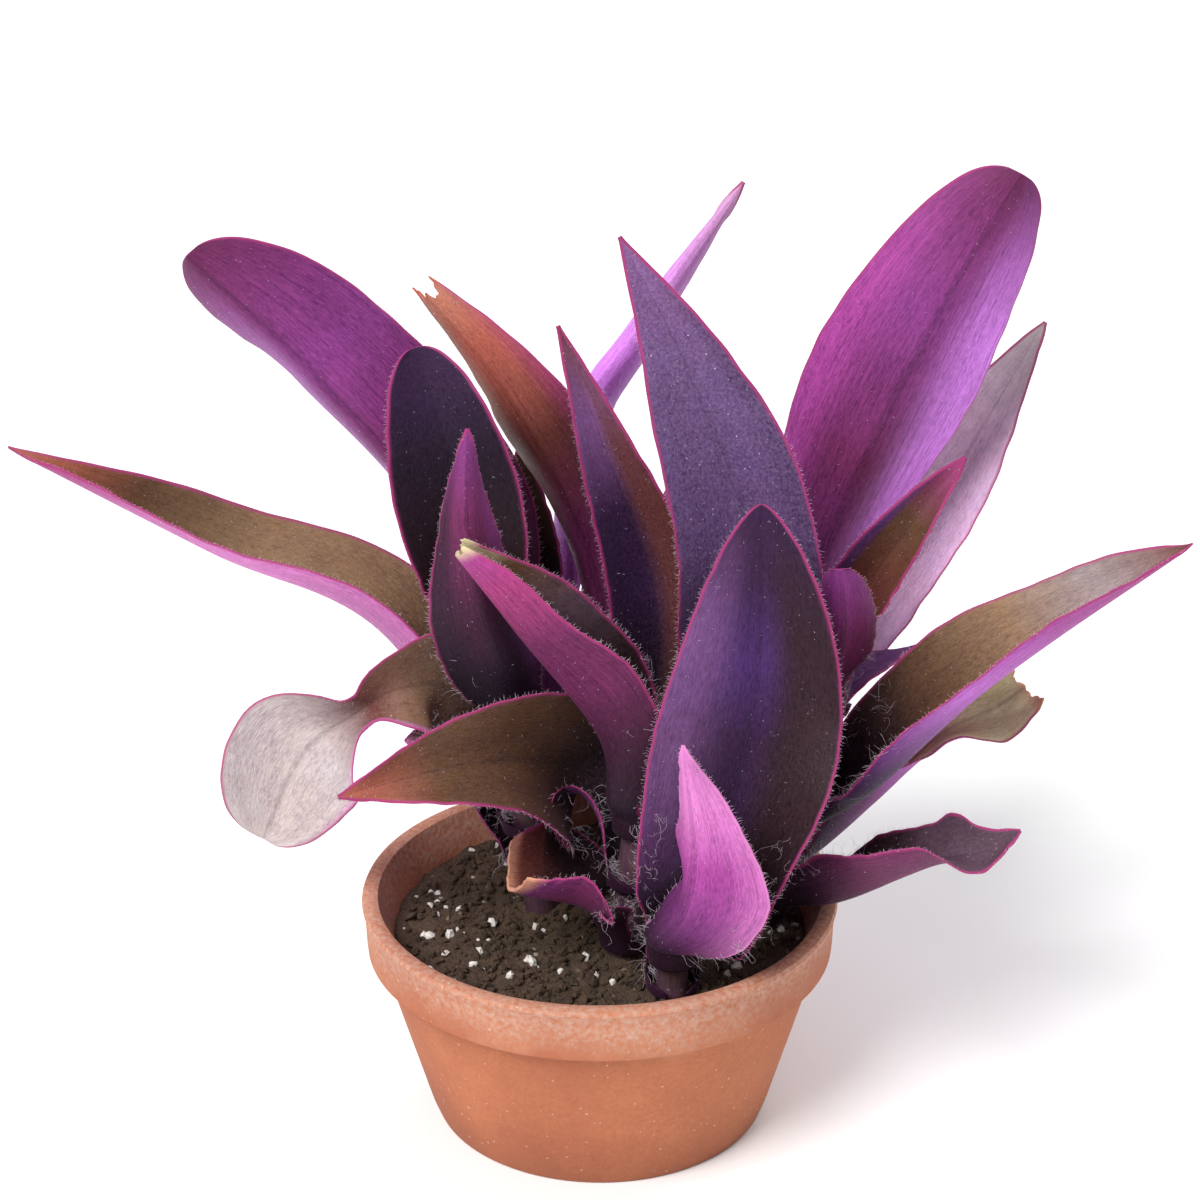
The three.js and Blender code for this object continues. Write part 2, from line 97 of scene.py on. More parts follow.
# %% Sky and lamps
SKY_COLOUR = (0.97, 0.985, 1, 1)
SKY_STRENGTH = 0.45
LAMPS = {
    "key_sun": dict(place=(-0.5, -0.6, 0.9), softness=30, strength=3.3),
    "back_sun": dict(place=(0.5, 0.7, 0.8), softness=50, strength=1.5),
}


def add_lamp(name, place, softness, strength):
    data = bpy.data.lights.new(name, "SUN")
    data.angle = math.radians(softness)
    data.energy = strength
    lamp = bpy.data.objects.new(name, data)
    lamp.location = place
    lamp.rotation_euler = (-Vector(place)).to_track_quat("-Z", "Y").to_euler()
    bpy.context.collection.objects.link(lamp)


def add_sky():
    world = bpy.data.worlds.new("pale_sky")
    world.use_nodes = True
    sky = world.node_tree.nodes["Background"]
    sky.inputs["Color"].default_value = SKY_COLOUR
    sky.inputs["Strength"].default_value = SKY_STRENGTH
    bpy.context.scene.world = world


add_sky()
for lamp_name, lamp in LAMPS.items():
    add_lamp(lamp_name, **lamp)
bpy.context.scene.view_settings.view_transform = "Standard"
print("lamps:", ", ".join(LAMPS))

# %% [markdown]
# ## Colours and shader nodes
# Colours are picked as the six-digit codes that picture programs show. Shaders work in linear light, so a
# helper turns one into the other, with the numbers of the usual screen curve. A second helper fills a
# socket: it wires up another node's output, and sets anything else as a value. The rest add one node each,
# which keeps a material short enough to read.

# %% Colour and node helpers
def linear(code):
    parts = np.array([int(code[i:i + 2], 16) for i in (1, 3, 5)]) / 255
    return np.where(parts < 0.04045, parts / 12.92, ((parts + 0.055) / 1.055) ** 2.4)


def rgba(code):
    return (*linear(code), 1)


def fill(tree, socket, value):
    if isinstance(value, bpy.types.NodeSocket):
        tree.links.new(value, socket)
    else:
        socket.default_value = rgba(value) if isinstance(value, str) else value


def add_node(tree, kind, inputs=None, **settings):
    made = tree.nodes.new(kind)
    for key, value in settings.items():
        setattr(made, key, value)
    for key, value in (inputs or {}).items():
        fill(tree, made.inputs[key], value)
    return made


def mixed(tree, factor, first, second, blend="MIX"):
    return add_node(tree, "ShaderNodeMix", {0: factor, 6: first, 7: second},
                    data_type="RGBA", blend_type=blend, clamp_factor=True).outputs[2]


def maths(tree, operation, first, second):
    return add_node(tree, "ShaderNodeMath", {0: first, 1: second}, operation=operation).outputs[0]


def times(tree, first, second):
    return maths(tree, "MULTIPLY", first, second)


def ranged(tree, value, low, high, new_low=0.0, new_high=1.0):
    return add_node(tree, "ShaderNodeMapRange", {
        "Value": value, "From Min": low, "From Max": high,
        "To Min": new_low, "To Max": new_high}).outputs[0]


def parted(tree, vector):
    return add_node(tree, "ShaderNodeSeparateXYZ", {0: vector}).outputs


print("a mid magenta in linear light:", linear("#8c2f7b").round(3))

# %% [markdown]
# ## Effects that several materials share
# Three effects turn up on more than one material, so each is a node group with its own sockets. *Parallel
# veins* draws lines that run with a leaf or a stem. *Mottle* makes soft uneven patches. *Fine specks* makes
# the small pale dots of hairs on a leaf, of salts on the clay and of grit in the soil. Noise keeps close to
# a half, so the groups stretch the part between two limits to the full range.

# %% A way to make groups
FLOAT = "NodeSocketFloat"
VECTOR = "NodeSocketVector"


def new_group(name, wanted, given):
    tree = bpy.data.node_groups.new(name, "ShaderNodeTree")
    for label, kind, value in wanted:
        socket = tree.interface.new_socket(label, in_out="INPUT", socket_type=kind)
        if value is not None:
            socket.default_value = value
    tree.interface.new_socket(given, in_out="OUTPUT", socket_type=FLOAT)
    return tree, tree.nodes.new("NodeGroupInput").outputs, tree.nodes.new("NodeGroupOutput").inputs[0]


def use_group(tree, name, inputs):
    return add_node(tree, "ShaderNodeGroup", inputs, node_tree=bpy.data.node_groups[name]).outputs[0]


print("groups take", FLOAT, "and", VECTOR)

# %% Parallel veins
VEIN_LIMITS = (0.36, 0.64)


def make_veins():
    tree, given, out = new_group("parallel veins", [
        ("Across", FLOAT, 0.5), ("Along", FLOAT, 0.5), ("Count", FLOAT, 30.0), ("Stretch", FLOAT, 0.8)],
        "Lines")
    place = add_node(tree, "ShaderNodeCombineXYZ", {
        "X": times(tree, given["Across"], given["Count"]),
        "Y": times(tree, given["Along"], given["Stretch"])})
    grain = add_node(tree, "ShaderNodeTexNoise", {
        "Vector": place.outputs[0], "Scale": 1.0, "Detail": 3.0, "Roughness": 0.65})
    fill(tree, out, ranged(tree, grain.outputs["Fac"], *VEIN_LIMITS))


def veins(tree, spot, count, stretch):
    return use_group(tree, "parallel veins", {
        "Across": spot[0], "Along": spot[1], "Count": count, "Stretch": stretch})


make_veins()
print("group:", bpy.data.node_groups["parallel veins"].name)

# %% Mottle
MOTTLE_LIMITS = (0.3, 0.7)


def make_mottle():
    tree, given, out = new_group("mottle", [
        ("Place", VECTOR, None), ("Scale", FLOAT, 100.0), ("Detail", FLOAT, 4.0)], "Patches")
    grain = add_node(tree, "ShaderNodeTexNoise", {
        "Vector": given["Place"], "Scale": given["Scale"], "Detail": given["Detail"], "Roughness": 0.6})
    fill(tree, out, ranged(tree, grain.outputs["Fac"], *MOTTLE_LIMITS))


def mottle(tree, place, scale, detail):
    return use_group(tree, "mottle", {"Place": place, "Scale": scale, "Detail": detail})


make_mottle()
print("group:", bpy.data.node_groups["mottle"].name)

# %% Fine specks
SPECK_CORE = 0.4


def make_specks():
    tree, given, out = new_group("fine specks", [
        ("Place", VECTOR, None), ("Scale", FLOAT, 900.0), ("Size", FLOAT, 0.22), ("Share", FLOAT, 0.5)],
        "Specks")
    cells = add_node(tree, "ShaderNodeTexVoronoi", {"Vector": given["Place"], "Scale": given["Scale"]})
    core = times(tree, given["Size"], SPECK_CORE)
    dots = ranged(tree, cells.outputs["Distance"], given["Size"], core)
    chance = add_node(tree, "ShaderNodeSeparateColor", {"Color": cells.outputs["Color"]})
    kept = maths(tree, "LESS_THAN", chance.outputs[0], given["Share"])
    fill(tree, out, times(tree, times(tree, dots, kept), chance.outputs[1]))


def specks(tree, place, scale, size, share):
    return use_group(tree, "fine specks", {"Place": place, "Scale": scale, "Size": size, "Share": share})


make_specks()
print("group:", bpy.data.node_groups["fine specks"].name)

# %% [markdown]
# ## Materials
# A material starts as one plain shader with the values that are the same all over. The patterns then come
# from the groups above. The leaf's colours change from leaf to leaf and from base to tip, so they are
# stored in its mesh as the attribute *tint*, and a second attribute, *zones*, says where the margin is,
# which side is the upper one and how thick the bloom of hairs is. A leaf's patterns differ only in their
# sizes and shares, so they are rows of a table that one loop lays over each other.

# %% A plain material to start from
WHOLE = (0.0, 1.0)


def new_material(name, roughness, **plain):
    material = bpy.data.materials.new(name)
    material.use_nodes = True
    tree = material.node_tree
    shader = tree.nodes["Principled BSDF"]
    shader.inputs["Roughness"].default_value = roughness
    for label, value in plain.items():
        shader.inputs[label.replace("_", " ")].default_value = value
    place = add_node(tree, "ShaderNodeTexCoord").outputs["Object"]
    return material, tree, shader.inputs, place


def bump(tree, height, distance):
    return add_node(tree, "ShaderNodeBump", {
        "Height": height, "Distance": distance, "Strength": 1.0}).outputs[0]


def map_spot(tree, name):
    return parted(tree, add_node(tree, "ShaderNodeUVMap", uv_map=name).outputs[0])


def stored(tree, name, output):
    return add_node(tree, "ShaderNodeAttribute", attribute_name=name).outputs[output]


print("materials start from the Principled shader")

# %% The patterns of a leaf
LEAF_LAYERS = {
    "clouds": dict(group=mottle, sizes=(75.0, 5.0), limits=WHOLE, tone="cool", upper=0.7, under=0.1),
    "stripes": dict(group=veins, sizes=(24.0, 0.3), limits=(0.42, 0.85), tone="dark", upper=0.3, under=0.8),
    "streaks": dict(group=veins, sizes=(8.0, 1.3), limits=(0.3, 1.0), tone="dark", upper=0.4, under=0.4),
    "blots": dict(group=mottle, sizes=(320.0, 4.0), limits=(0.3, 1.0), tone="dark", upper=0.45, under=0.45),
    "fine": dict(group=veins, sizes=(70.0, 1.6), limits=WHOLE, tone="pale", upper=0.12, under=0.5),
    "threads": dict(group=veins, sizes=(95.0, 4.5), limits=WHOLE, tone="dark", upper=0.25, under=0.55),
    "hollows": dict(group=mottle, sizes=(42.0, 6.0), limits=(1.0, 0.0), tone="dark", upper=0.5, under=0.5),
    "grain": dict(group=veins, sizes=(130.0, 20.0), limits=WHOLE, tone="pale", upper=0.4, under=0.4),
    "cells": dict(group=mottle, sizes=(1500.0, 2.0), limits=WHOLE, tone="pale", upper=0.12, under=0.12),
}


def lay_over(tree, colour, tones, upper, spot, place):
    patterns = {}
    for name, layer in LEAF_LAYERS.items():
        where = spot if layer["group"] is veins else place
        patterns[name] = layer["group"](tree, where, *layer["sizes"])
        share = ranged(tree, upper, *WHOLE, layer["under"], layer["upper"])
        factor = times(tree, ranged(tree, patterns[name], *layer["limits"]), share)
        colour = mixed(tree, factor, colour, tones[layer["tone"]])
    return colour, patterns


print("patterns of a leaf:", ", ".join(LEAF_LAYERS))

# %% Leaf material
LEAF_DARK = "#85708e"
LEAF_COOL = (0.72, 0.95, 1.25, 1)
LEAF_LIT = (1.6, 1.5, 1.65, 1)
LEAF_BLUSH = "#e6b9e0"
# Pale colour of the leaf hairs together with a painted sheen of them
HAIR_PALE_AND_PAINTED_SHEEN = "#b9a6c4"
HAIR_DOT = "#efe6f2"
LEAF_ROUGHNESS = (0.36, 0.62)
LEAF_RELIEF = 0.05 * MM


def make_leaf_material():
    material, tree, sockets, place = new_material(
        "satin_leaf", 0.5, Sheen_Weight=0.04, Sheen_Roughness=0.4, Sheen_Tint=rgba("#e9c3e6"),
        Specular_IOR_Level=0.12)
    tint = stored(tree, "tint", "Color")
    margin, upper, bloom = parted(tree, stored(tree, "zones", "Vector"))
    lit = mixed(tree, 1.0, tint, LEAF_LIT, "MULTIPLY")
    tones = {
        "dark": mixed(tree, 1.0, tint, LEAF_DARK, "MULTIPLY"),
        "cool": mixed(tree, 1.0, tint, LEAF_COOL, "MULTIPLY"),
        "pale": mixed(tree, 0.035, lit, LEAF_BLUSH),
    }
    colour, patterns = lay_over(tree, tint, tones, upper, map_spot(tree, "leaf_map"), place)
    # The bloom lays a pale haze over the leaf: the pale colour of its hairs and a painted sheen on them
    pale_and_painted_sheen = times(tree, bloom, ranged(tree, patterns["cells"], 0.2, 0.9, 0.0, 0.15))
    colour = mixed(tree, pale_and_painted_sheen, colour, HAIR_PALE_AND_PAINTED_SHEEN)
    dots = times(tree, specks(tree, place, 1050.0, 0.2, 0.12), ranged(tree, bloom, *WHOLE, 0.15, 1.0))
    colour = mixed(tree, dots, colour, HAIR_DOT)
    relief = maths(tree, "ADD", times(tree, patterns["fine"], 0.5), patterns["cells"])
    fill(tree, sockets["Base Color"], mixed(tree, margin, colour, tint))
    fill(tree, sockets["Roughness"], ranged(tree, patterns["cells"], *WHOLE, *LEAF_ROUGHNESS))
    fill(tree, sockets["Normal"], bump(tree, relief, LEAF_RELIEF))
    return material


leaf_material = make_leaf_material()
print("material:", leaf_material.name, "with", len(leaf_material.node_tree.nodes), "nodes")

# %% Hair material
def make_hair_material():
    material, tree, sockets, place = new_material("leaf_hair", 0.45, Sheen_Weight=0.1)
    pale = times(tree, mottle(tree, place, 400.0, 1.0), 0.4)
    fill(tree, sockets["Base Color"], mixed(tree, pale, stored(tree, "tint", "Color"), "#ffffff"))
    return material


hair_material = make_hair_material()
print("material:", hair_material.name)

# %% Stem material
STEM_DARK = "#3c1e33"
STEM_PALE = "#643c5a"
STEM_GREEN = "#5a5236"
STEM_HAIR = "#e3cfe0"
STEM_RELIEF = 0.06 * MM


def make_stem_material():
    material, tree, sockets, place = new_material(
        "waxy_stem", 0.4, Coat_Weight=0.12, Coat_Roughness=0.35,
        Subsurface_Weight=0.1, Subsurface_Radius=(1.0, 0.4, 0.7), Subsurface_Scale=2 * MM)
    lines = veins(tree, map_spot(tree, "stem_map"), 26.0, 3.0)
    colour = mixed(tree, mottle(tree, place, 130.0, 4.0), STEM_DARK, STEM_PALE)
    colour = mixed(tree, times(tree, lines, 0.5), colour, STEM_GREEN)
    colour = mixed(tree, specks(tree, place, 700.0, 0.25, 0.3), colour, STEM_HAIR)
    fill(tree, sockets["Base Color"], colour)
    fill(tree, sockets["Normal"], bump(tree, lines, STEM_RELIEF))
    return material


stem_material = make_stem_material()
print("material:", stem_material.name)

# %% Clay material
CLAY_RED = "#a85e3f"
CLAY_PALE = "#c47a55"
CLAY_BROWN = "#8f4d34"
CLAY_DAMP = "#7c4630"
CLAY_SALT = "#e0cbbb"
CLAY_GRIT = "#ddc1a8"
CLAY_ROUGHNESS = (0.78, 0.95)
CLAY_RELIEF = 0.09 * MM
DAMP_TOP = 22 * MM
DAMP_FULL = 5 * MM
SALT_FOOT = 43 * MM
SALT_FULL = 52 * MM
LEVEL_DRIFT = 9 * MM


def make_clay_material():
    material, tree, sockets, place = new_material("dry_clay", 0.85)
    patches = mottle(tree, place, 28.0, 6.0)
    grain = mottle(tree, place, 900.0, 3.0)
    grit = specks(tree, place, 700.0, 0.25, 0.25)
    level = maths(tree, "ADD", parted(tree, place)[2], times(tree, patches, LEVEL_DRIFT))
    colour = mixed(tree, patches, CLAY_RED, CLAY_PALE)
    colour = mixed(tree, times(tree, grain, 0.35), colour, CLAY_BROWN)
    colour = mixed(tree, ranged(tree, level, DAMP_TOP, DAMP_FULL, 0.0, 0.45), colour, CLAY_DAMP)
    salts = times(tree, ranged(tree, level, SALT_FOOT, SALT_FULL, 0.0, 0.4), grain)
    colour = mixed(tree, salts, colour, CLAY_SALT)
    colour = mixed(tree, times(tree, grit, 0.7), colour, CLAY_GRIT)
    fill(tree, sockets["Base Color"], colour)
    fill(tree, sockets["Roughness"], ranged(tree, patches, *WHOLE, *CLAY_ROUGHNESS))
    fill(tree, sockets["Normal"], bump(tree, maths(tree, "ADD", grain, grit), CLAY_RELIEF))
    return material


clay_material = make_clay_material()
print("material:", clay_material.name)

# %% Soil material
SOIL_DARK = "#1f1712"
SOIL_BROWN = "#4a382a"
SOIL_FIBRE = "#6a523c"
SOIL_SAND = "#b8a893"
SOIL_RELIEF = 0.3 * MM


def make_soil_material():
    material, tree, sockets, place = new_material("potting_soil", 0.92)
    patches = mottle(tree, place, 160.0, 6.0)
    grain = mottle(tree, place, 1400.0, 3.0)
    colour = mixed(tree, patches, SOIL_DARK, SOIL_BROWN)
    colour = mixed(tree, times(tree, grain, 0.5), colour, SOIL_FIBRE)
    colour = mixed(tree, times(tree, specks(tree, place, 420.0, 0.3, 0.16), 0.8), colour, SOIL_SAND)
    fill(tree, sockets["Base Color"], colour)
    fill(tree, sockets["Normal"], bump(tree, maths(tree, "ADD", patches, grain), SOIL_RELIEF))
    return material


soil_material = make_soil_material()
print("material:", soil_material.name)

# %% Perlite and floor materials
PERLITE_RELIEF = 0.2 * MM


def make_perlite_material():
    material, tree, sockets, place = new_material("white_perlite", 0.9)
    grain = mottle(tree, place, 1100.0, 4.0)
    fill(tree, sockets["Base Color"], mixed(tree, grain, "#c9c2b6", "#f1eee8"))
    fill(tree, sockets["Normal"], bump(tree, grain, PERLITE_RELIEF))
    return material


def make_floor_material():
    material, tree, sockets, place = new_material("pale_floor", 0.7)
    fill(tree, sockets["Base Color"], mixed(tree, mottle(tree, place, 2.0, 2.0), "#f3f3f2", "#f8f8f8"))
    return material


perlite_material = make_perlite_material()
floor_material = make_floor_material()
print("materials:", perlite_material.name, floor_material.name)

# %% [markdown]
# ## From points to a piece
# Every piece is a list of points in millimetres with the faces between them. One helper turns them into a
# smooth-shaded object, gives it its material, ties it to the body that it rides on and hides the imported
# solid that it replaces. Most pieces are rings of points, one after the other: one helper makes the faces
# of such a tube, and another closes it to the two points that follow the rings.

# %% Make one piece
def add_piece(name, points, faces, material, slot, node=None, smooth_faces=True):
    mesh = bpy.data.meshes.new(name)
    mesh.from_pydata((np.asarray(points) * MM).tolist(), [], faces)
    if smooth_faces:
        mesh.shade_smooth()
    else:
        mesh.shade_flat()
    mesh.materials.append(material)
    piece = bpy.data.objects.new(name, mesh)
    bpy.context.collection.objects.link(piece)
    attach(piece, "root")
    if node:
        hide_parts(node)
    return piece


def store(piece, name, values):
    made = piece.data.attributes.new(name, "FLOAT_VECTOR", "POINT")
    made.data.foreach_set("vector", np.asarray(values, np.float32).ravel())


def store_map(piece, name, pairs):
    corners = np.empty(len(piece.data.loops), np.int32)
    piece.data.loops.foreach_get("vertex_index", corners)
    made = piece.data.uv_layers.new(name=name)
    made.data.foreach_set("uv", np.asarray(pairs, np.float32)[corners].ravel())


def rings_to_faces(rows, ring):
    grid = np.arange(rows * ring).reshape(rows, ring)
    after = np.roll(grid, -1, axis=1)
    return np.stack([grid[:-1], after[:-1], after[1:], grid[1:]], axis=-1).reshape(-1, 4).tolist()


def close_ends(faces, rows, ring):
    foot, last = rows * ring, (rows - 1) * ring
    for k in range(ring):
        after = (k + 1) % ring
        faces.append([foot, after, k])
        faces.append([foot + 1, last + k, last + after])


def turned(steps):
    return np.arange(steps) * FULL_TURN / steps


print("a tube of 3 rings of 4 has", len(rings_to_faces(3, 4)), "faces")

# %% [markdown]
# ## The pot
# The photograph shows no pot, so this is the plainest one: a low pot of unglazed clay, turned on a wheel,
# with a band under its rim and drain holes in its foot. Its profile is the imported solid's, with the edges
# rounded by a few more points, and it is spun into many more steps. The wall wavers a little, because it
# was shaped by hand and dried.

# %% Pot sizes and profile
POT_HEIGHT = 52
POT_FOOT_RADIUS = 37
POT_RIM_RADIUS = 52
POT_WALL = 4
POT_FLOOR = 5
BAND_HEIGHT = 13
BAND_STEP = 3
BAND_FLARE = 1
FOOT_ROUND = 1
FOOT_CUT = 0.3
LIP_ROUND = 1.2
LIP_CUT = 0.35
LIP_THINNING = 0.5
DRAIN_RADIUS = 4
DRAIN_CIRCLE = 20
DRAIN_COUNT = 3
DRAIN_DEPTH = 20
DRAIN_SIDES = 32
POT_STEPS = 144
POT_WAVER = 0.12
POT_SHARP = math.radians(38)
BAND_FOOT = POT_HEIGHT - BAND_HEIGHT
BAND_RADIUS = POT_RIM_RADIUS - BAND_FLARE
TAPER = (BAND_RADIUS - BAND_STEP - POT_FOOT_RADIUS) / BAND_FOOT


def smooth(low, high, x):
    k = np.clip((np.asarray(x, float) - low) / (high - low), 0, 1)
    return k * k * (3 - 2 * k)


def outer_radius(height):
    return POT_FOOT_RADIUS + TAPER * height


def inner_radius(height):
    return outer_radius(height) - POT_WALL + LIP_THINNING * smooth(BAND_FOOT, POT_HEIGHT, height)


MOUTH_RADIUS = inner_radius(POT_HEIGHT)
POT_PROFILE = [
    (0, 0), (POT_FOOT_RADIUS - FOOT_ROUND, 0), (POT_FOOT_RADIUS - FOOT_CUT, FOOT_CUT),
    (POT_FOOT_RADIUS, FOOT_ROUND), *[(outer_radius(h), h) for h in np.linspace(4, BAND_FOOT - 1, 12)],
    (outer_radius(BAND_FOOT), BAND_FOOT - 0.2),
    (BAND_RADIUS - 0.8, BAND_FOOT + 0.25), (BAND_RADIUS - 0.1, BAND_FOOT + 0.9),
    *[(BAND_RADIUS + 0.08 * k, BAND_FOOT + 1 + 1.8 * k) for k in range(1, 6)],
    (POT_RIM_RADIUS, POT_HEIGHT - LIP_ROUND), (POT_RIM_RADIUS - LIP_CUT, POT_HEIGHT - LIP_CUT),
    (POT_RIM_RADIUS - LIP_ROUND, POT_HEIGHT), (MOUTH_RADIUS + LIP_ROUND, POT_HEIGHT),
    (MOUTH_RADIUS + LIP_CUT, POT_HEIGHT - LIP_CUT), (MOUTH_RADIUS, POT_HEIGHT - LIP_ROUND),
    *[(inner_radius(h), h) for h in np.linspace(46, 8, 9)],
    (inner_radius(POT_FLOOR), POT_FLOOR + 0.4), (inner_radius(POT_FLOOR) - 1, POT_FLOOR), (0, POT_FLOOR),
]
print("pot profile:", len(POT_PROFILE), "points")

# %% Spin a profile, and drill the drain holes
def spun(profile, steps, waver):
    radii, heights = np.array(profile[1:-1]).T
    turn = turned(steps)
    drift = waver * (np.sin(2 * turn + 0.6) + 0.5 * np.sin(5 * turn + heights[:, None] / 9))
    reach = radii[:, None] + drift * smooth(1, 6, heights)[:, None]
    level = np.broadcast_to(heights[:, None], reach.shape)
    points = np.stack([reach * np.cos(turn), reach * np.sin(turn), level], -1).reshape(-1, 3)
    points = np.vstack([points, [(0, 0, profile[0][1]), (0, 0, profile[-1][1])]])
    faces = rings_to_faces(len(radii), steps)
    close_ends(faces, len(radii), steps)
    return points, faces


def drill(piece, places):
    for x, y in places:
        bpy.ops.mesh.primitive_cylinder_add(
            vertices=DRAIN_SIDES, radius=DRAIN_RADIUS * MM, depth=DRAIN_DEPTH * MM,
            location=(x * MM, y * MM, 0))
        cutter = bpy.context.object
        cut = piece.modifiers.new("drain", "BOOLEAN")
        cut.object = cutter
        cut.solver = "EXACT"
        bpy.context.view_layer.objects.active = piece
        bpy.ops.object.modifier_apply(modifier=cut.name)
        bpy.data.objects.remove(cutter)


pot = add_piece("clay_pot", *spun(POT_PROFILE, POT_STEPS, POT_WAVER), clay_material, "clay", "pot")
turns = [(k + 0.5) * FULL_TURN / DRAIN_COUNT for k in range(DRAIN_COUNT)]
drill(pot, [(DRAIN_CIRCLE * math.cos(a), DRAIN_CIRCLE * math.sin(a)) for a in turns])
pot.data.set_sharp_from_angle(angle=POT_SHARP)
print(pot.name, len(pot.data.polygons), "faces")

# %% [markdown]
# ## The soil
# Potting soil settles into a rough, slightly domed surface, with crumbs, bark and a few white grains of
# perlite. The body is one closed disc with a fine top that waves of several lengths lift and lower, drawn
# up a little round each stem, so the stems' places are set here. The loose bits are small lumpy solids,
# strewn by a seeded draw and half sunk in it.

# %% Soil body
SOIL_TOP = 44
SOIL_EDGE_GAP = 0.6
SOIL_SINK = 0.6
SOIL_STEPS = 180
SOIL_RINGS = 62
SOIL_WAVES = ((26, 0.5), (11, 0.34), (5.5, 0.26), (2.8, 0.2), (1.6, 0.13))
WAVES_EACH = 5
WAVE_SEED = 3
COLLAR_RISE = 0.9
COLLAR_WIDTH = 3.5
STEMS = {
    "front": dict(foot=(15, -32), lean=(2, -2), radius=3.6),
    "low": dict(foot=(5, -14), lean=(5, -1), radius=3.6),
    "centre": dict(foot=(13, 8), lean=(2, 3), radius=4),
    "left": dict(foot=(-13, 6), lean=(-6, -2), radius=4),
    "right": dict(foot=(34, -2), lean=(10, 3), radius=4),
    "inner": dict(foot=(26, 9), lean=(0, 1), radius=3.6),
    "rear_right": dict(foot=(25, 27), lean=(5, 8), radius=4),
    "rear_left": dict(foot=(-16, 30), lean=(-6, 5), radius=4),
    "rear": dict(foot=(5, 34), lean=(2, 8), radius=3.6),
}


def bumps(x, y):
    total = np.zeros_like(x)
    waves = np.random.default_rng(WAVE_SEED)
    for length, height in SOIL_WAVES:
        for _ in range(WAVES_EACH):
            turn, shift = waves.uniform(0, FULL_TURN, 2)
            along = x * np.cos(turn) + y * np.sin(turn)
            total += height * np.sin(along * FULL_TURN / length + shift) / 2
    return total


def soil_height(x, y):
    rise = SOIL_TOP - SOIL_SINK + bumps(x, y)
    for stem in STEMS.values():
        away = np.hypot(x - stem["foot"][0], y - stem["foot"][1]) - stem["radius"]
        rise += COLLAR_RISE * np.exp(-(np.maximum(away, 0) / COLLAR_WIDTH) ** 2)
    return rise


def make_soil():
    edge = float(inner_radius(SOIL_TOP)) - SOIL_EDGE_GAP
    foot = float(inner_radius(POT_FLOOR)) - 0.5
    below = [(foot - 0.5, POT_FLOOR + 0.5), (foot, POT_FLOOR + 1), (edge - 0.3, SOIL_TOP - 3)]
    turn = turned(SOIL_STEPS)
    points = [np.stack([r * np.cos(turn), r * np.sin(turn), np.full(SOIL_STEPS, h)], -1) for r, h in below]
    for radius in np.linspace(edge, 1.0, SOIL_RINGS):
        x, y = radius * np.cos(turn), radius * np.sin(turn)
        points.append(np.stack([x, y, soil_height(x, y)], -1))
    rows = len(points)
    middle = soil_height(np.zeros(1), np.zeros(1))[0]
    points = np.vstack([*points, [(0, 0, POT_FLOOR + 0.5), (0, 0, middle)]])
    faces = rings_to_faces(rows, SOIL_STEPS)
    close_ends(faces, rows, SOIL_STEPS)
    return add_piece("potting_soil", points, faces, soil_material, "soil", "soil")


soil = make_soil()
print(soil.name, len(soil.data.polygons), "faces")

# %% Crumbs, bark and perlite
LOOSE_EDGE_GAP = 2.5
LOOSE_STEM_GAP = 1.2
LOOSE_RISE = 0.12
LUMPINESS = 0.28
LOOSE = {
    "soil_crumbs": dict(count=1500, sizes=(0.8, 2.6), flatness=(0.5, 0.9), material=soil_material),
    "bark_chips": dict(count=90, sizes=(2.5, 5.5), flatness=(0.2, 0.4), material=soil_material),
    "perlite_grains": dict(count=110, sizes=(1.0, 2.6), flatness=(0.7, 1.0), material=perlite_material),
}


def lump_shape():
    bpy.ops.mesh.primitive_ico_sphere_add(subdivisions=1, radius=1)
    ball = bpy.context.object
    points = np.array([v.co[:] for v in ball.data.vertices])
    faces = np.array([f.vertices[:] for f in ball.data.polygons])
    bpy.data.objects.remove(ball)
    return points, faces


def random_turn():
    return np.array(Quaternion(draw.normal(size=4)).normalized().to_matrix())


def strewn(name, count, sizes, flatness, material):
    ball, triangles = lump_shape()
    points, faces = [], []
    reach = float(inner_radius(SOIL_TOP)) - LOOSE_EDGE_GAP
    while len(points) < count:
        radius, turn = reach * math.sqrt(draw.random()), draw.uniform(0, FULL_TURN)
        x, y = radius * math.cos(turn), radius * math.sin(turn)
        if any(math.dist((x, y), s["foot"]) < s["radius"] + LOOSE_STEM_GAP for s in STEMS.values()):
            continue
        size = draw.uniform(*sizes)
        lump = ball * (1 + draw.uniform(-LUMPINESS, LUMPINESS, (len(ball), 1)))
        lump = lump * (1, draw.uniform(0.6, 1), draw.uniform(*flatness)) @ random_turn().T * size / 2
        level = soil_height(np.array([x]), np.array([y]))[0]
        faces.append(triangles + len(ball) * len(points))
        points.append(lump + (x, y, level + LOOSE_RISE * size))
    piece = add_piece(name, np.vstack(points), np.vstack(faces).tolist(), material, "soil",
                      smooth_faces=False)
    print(name, len(piece.data.polygons), "faces")


for loose_name, loose in LOOSE.items():
    strewn(loose_name, **loose)

# %% [markdown]
# ## The stems
# A stem is a fleshy round rod, a little thicker at each joint where a leaf's sheath is seated. It stands
# in the soil and leans outwards, by so many millimetres sideways for each 50 upwards. Rings of points are
# set along its axis, wider at the joints, and the top closes in a blunt bud. The joints are where the
# leaves sit, so the table of leaves comes first. A leaf has an outline form, the points of its midrib's
# path, the way its upper side faces there and how far it is folded. A form says how wide the base is,
# where the widest place is and how the outline falls off to the tip.

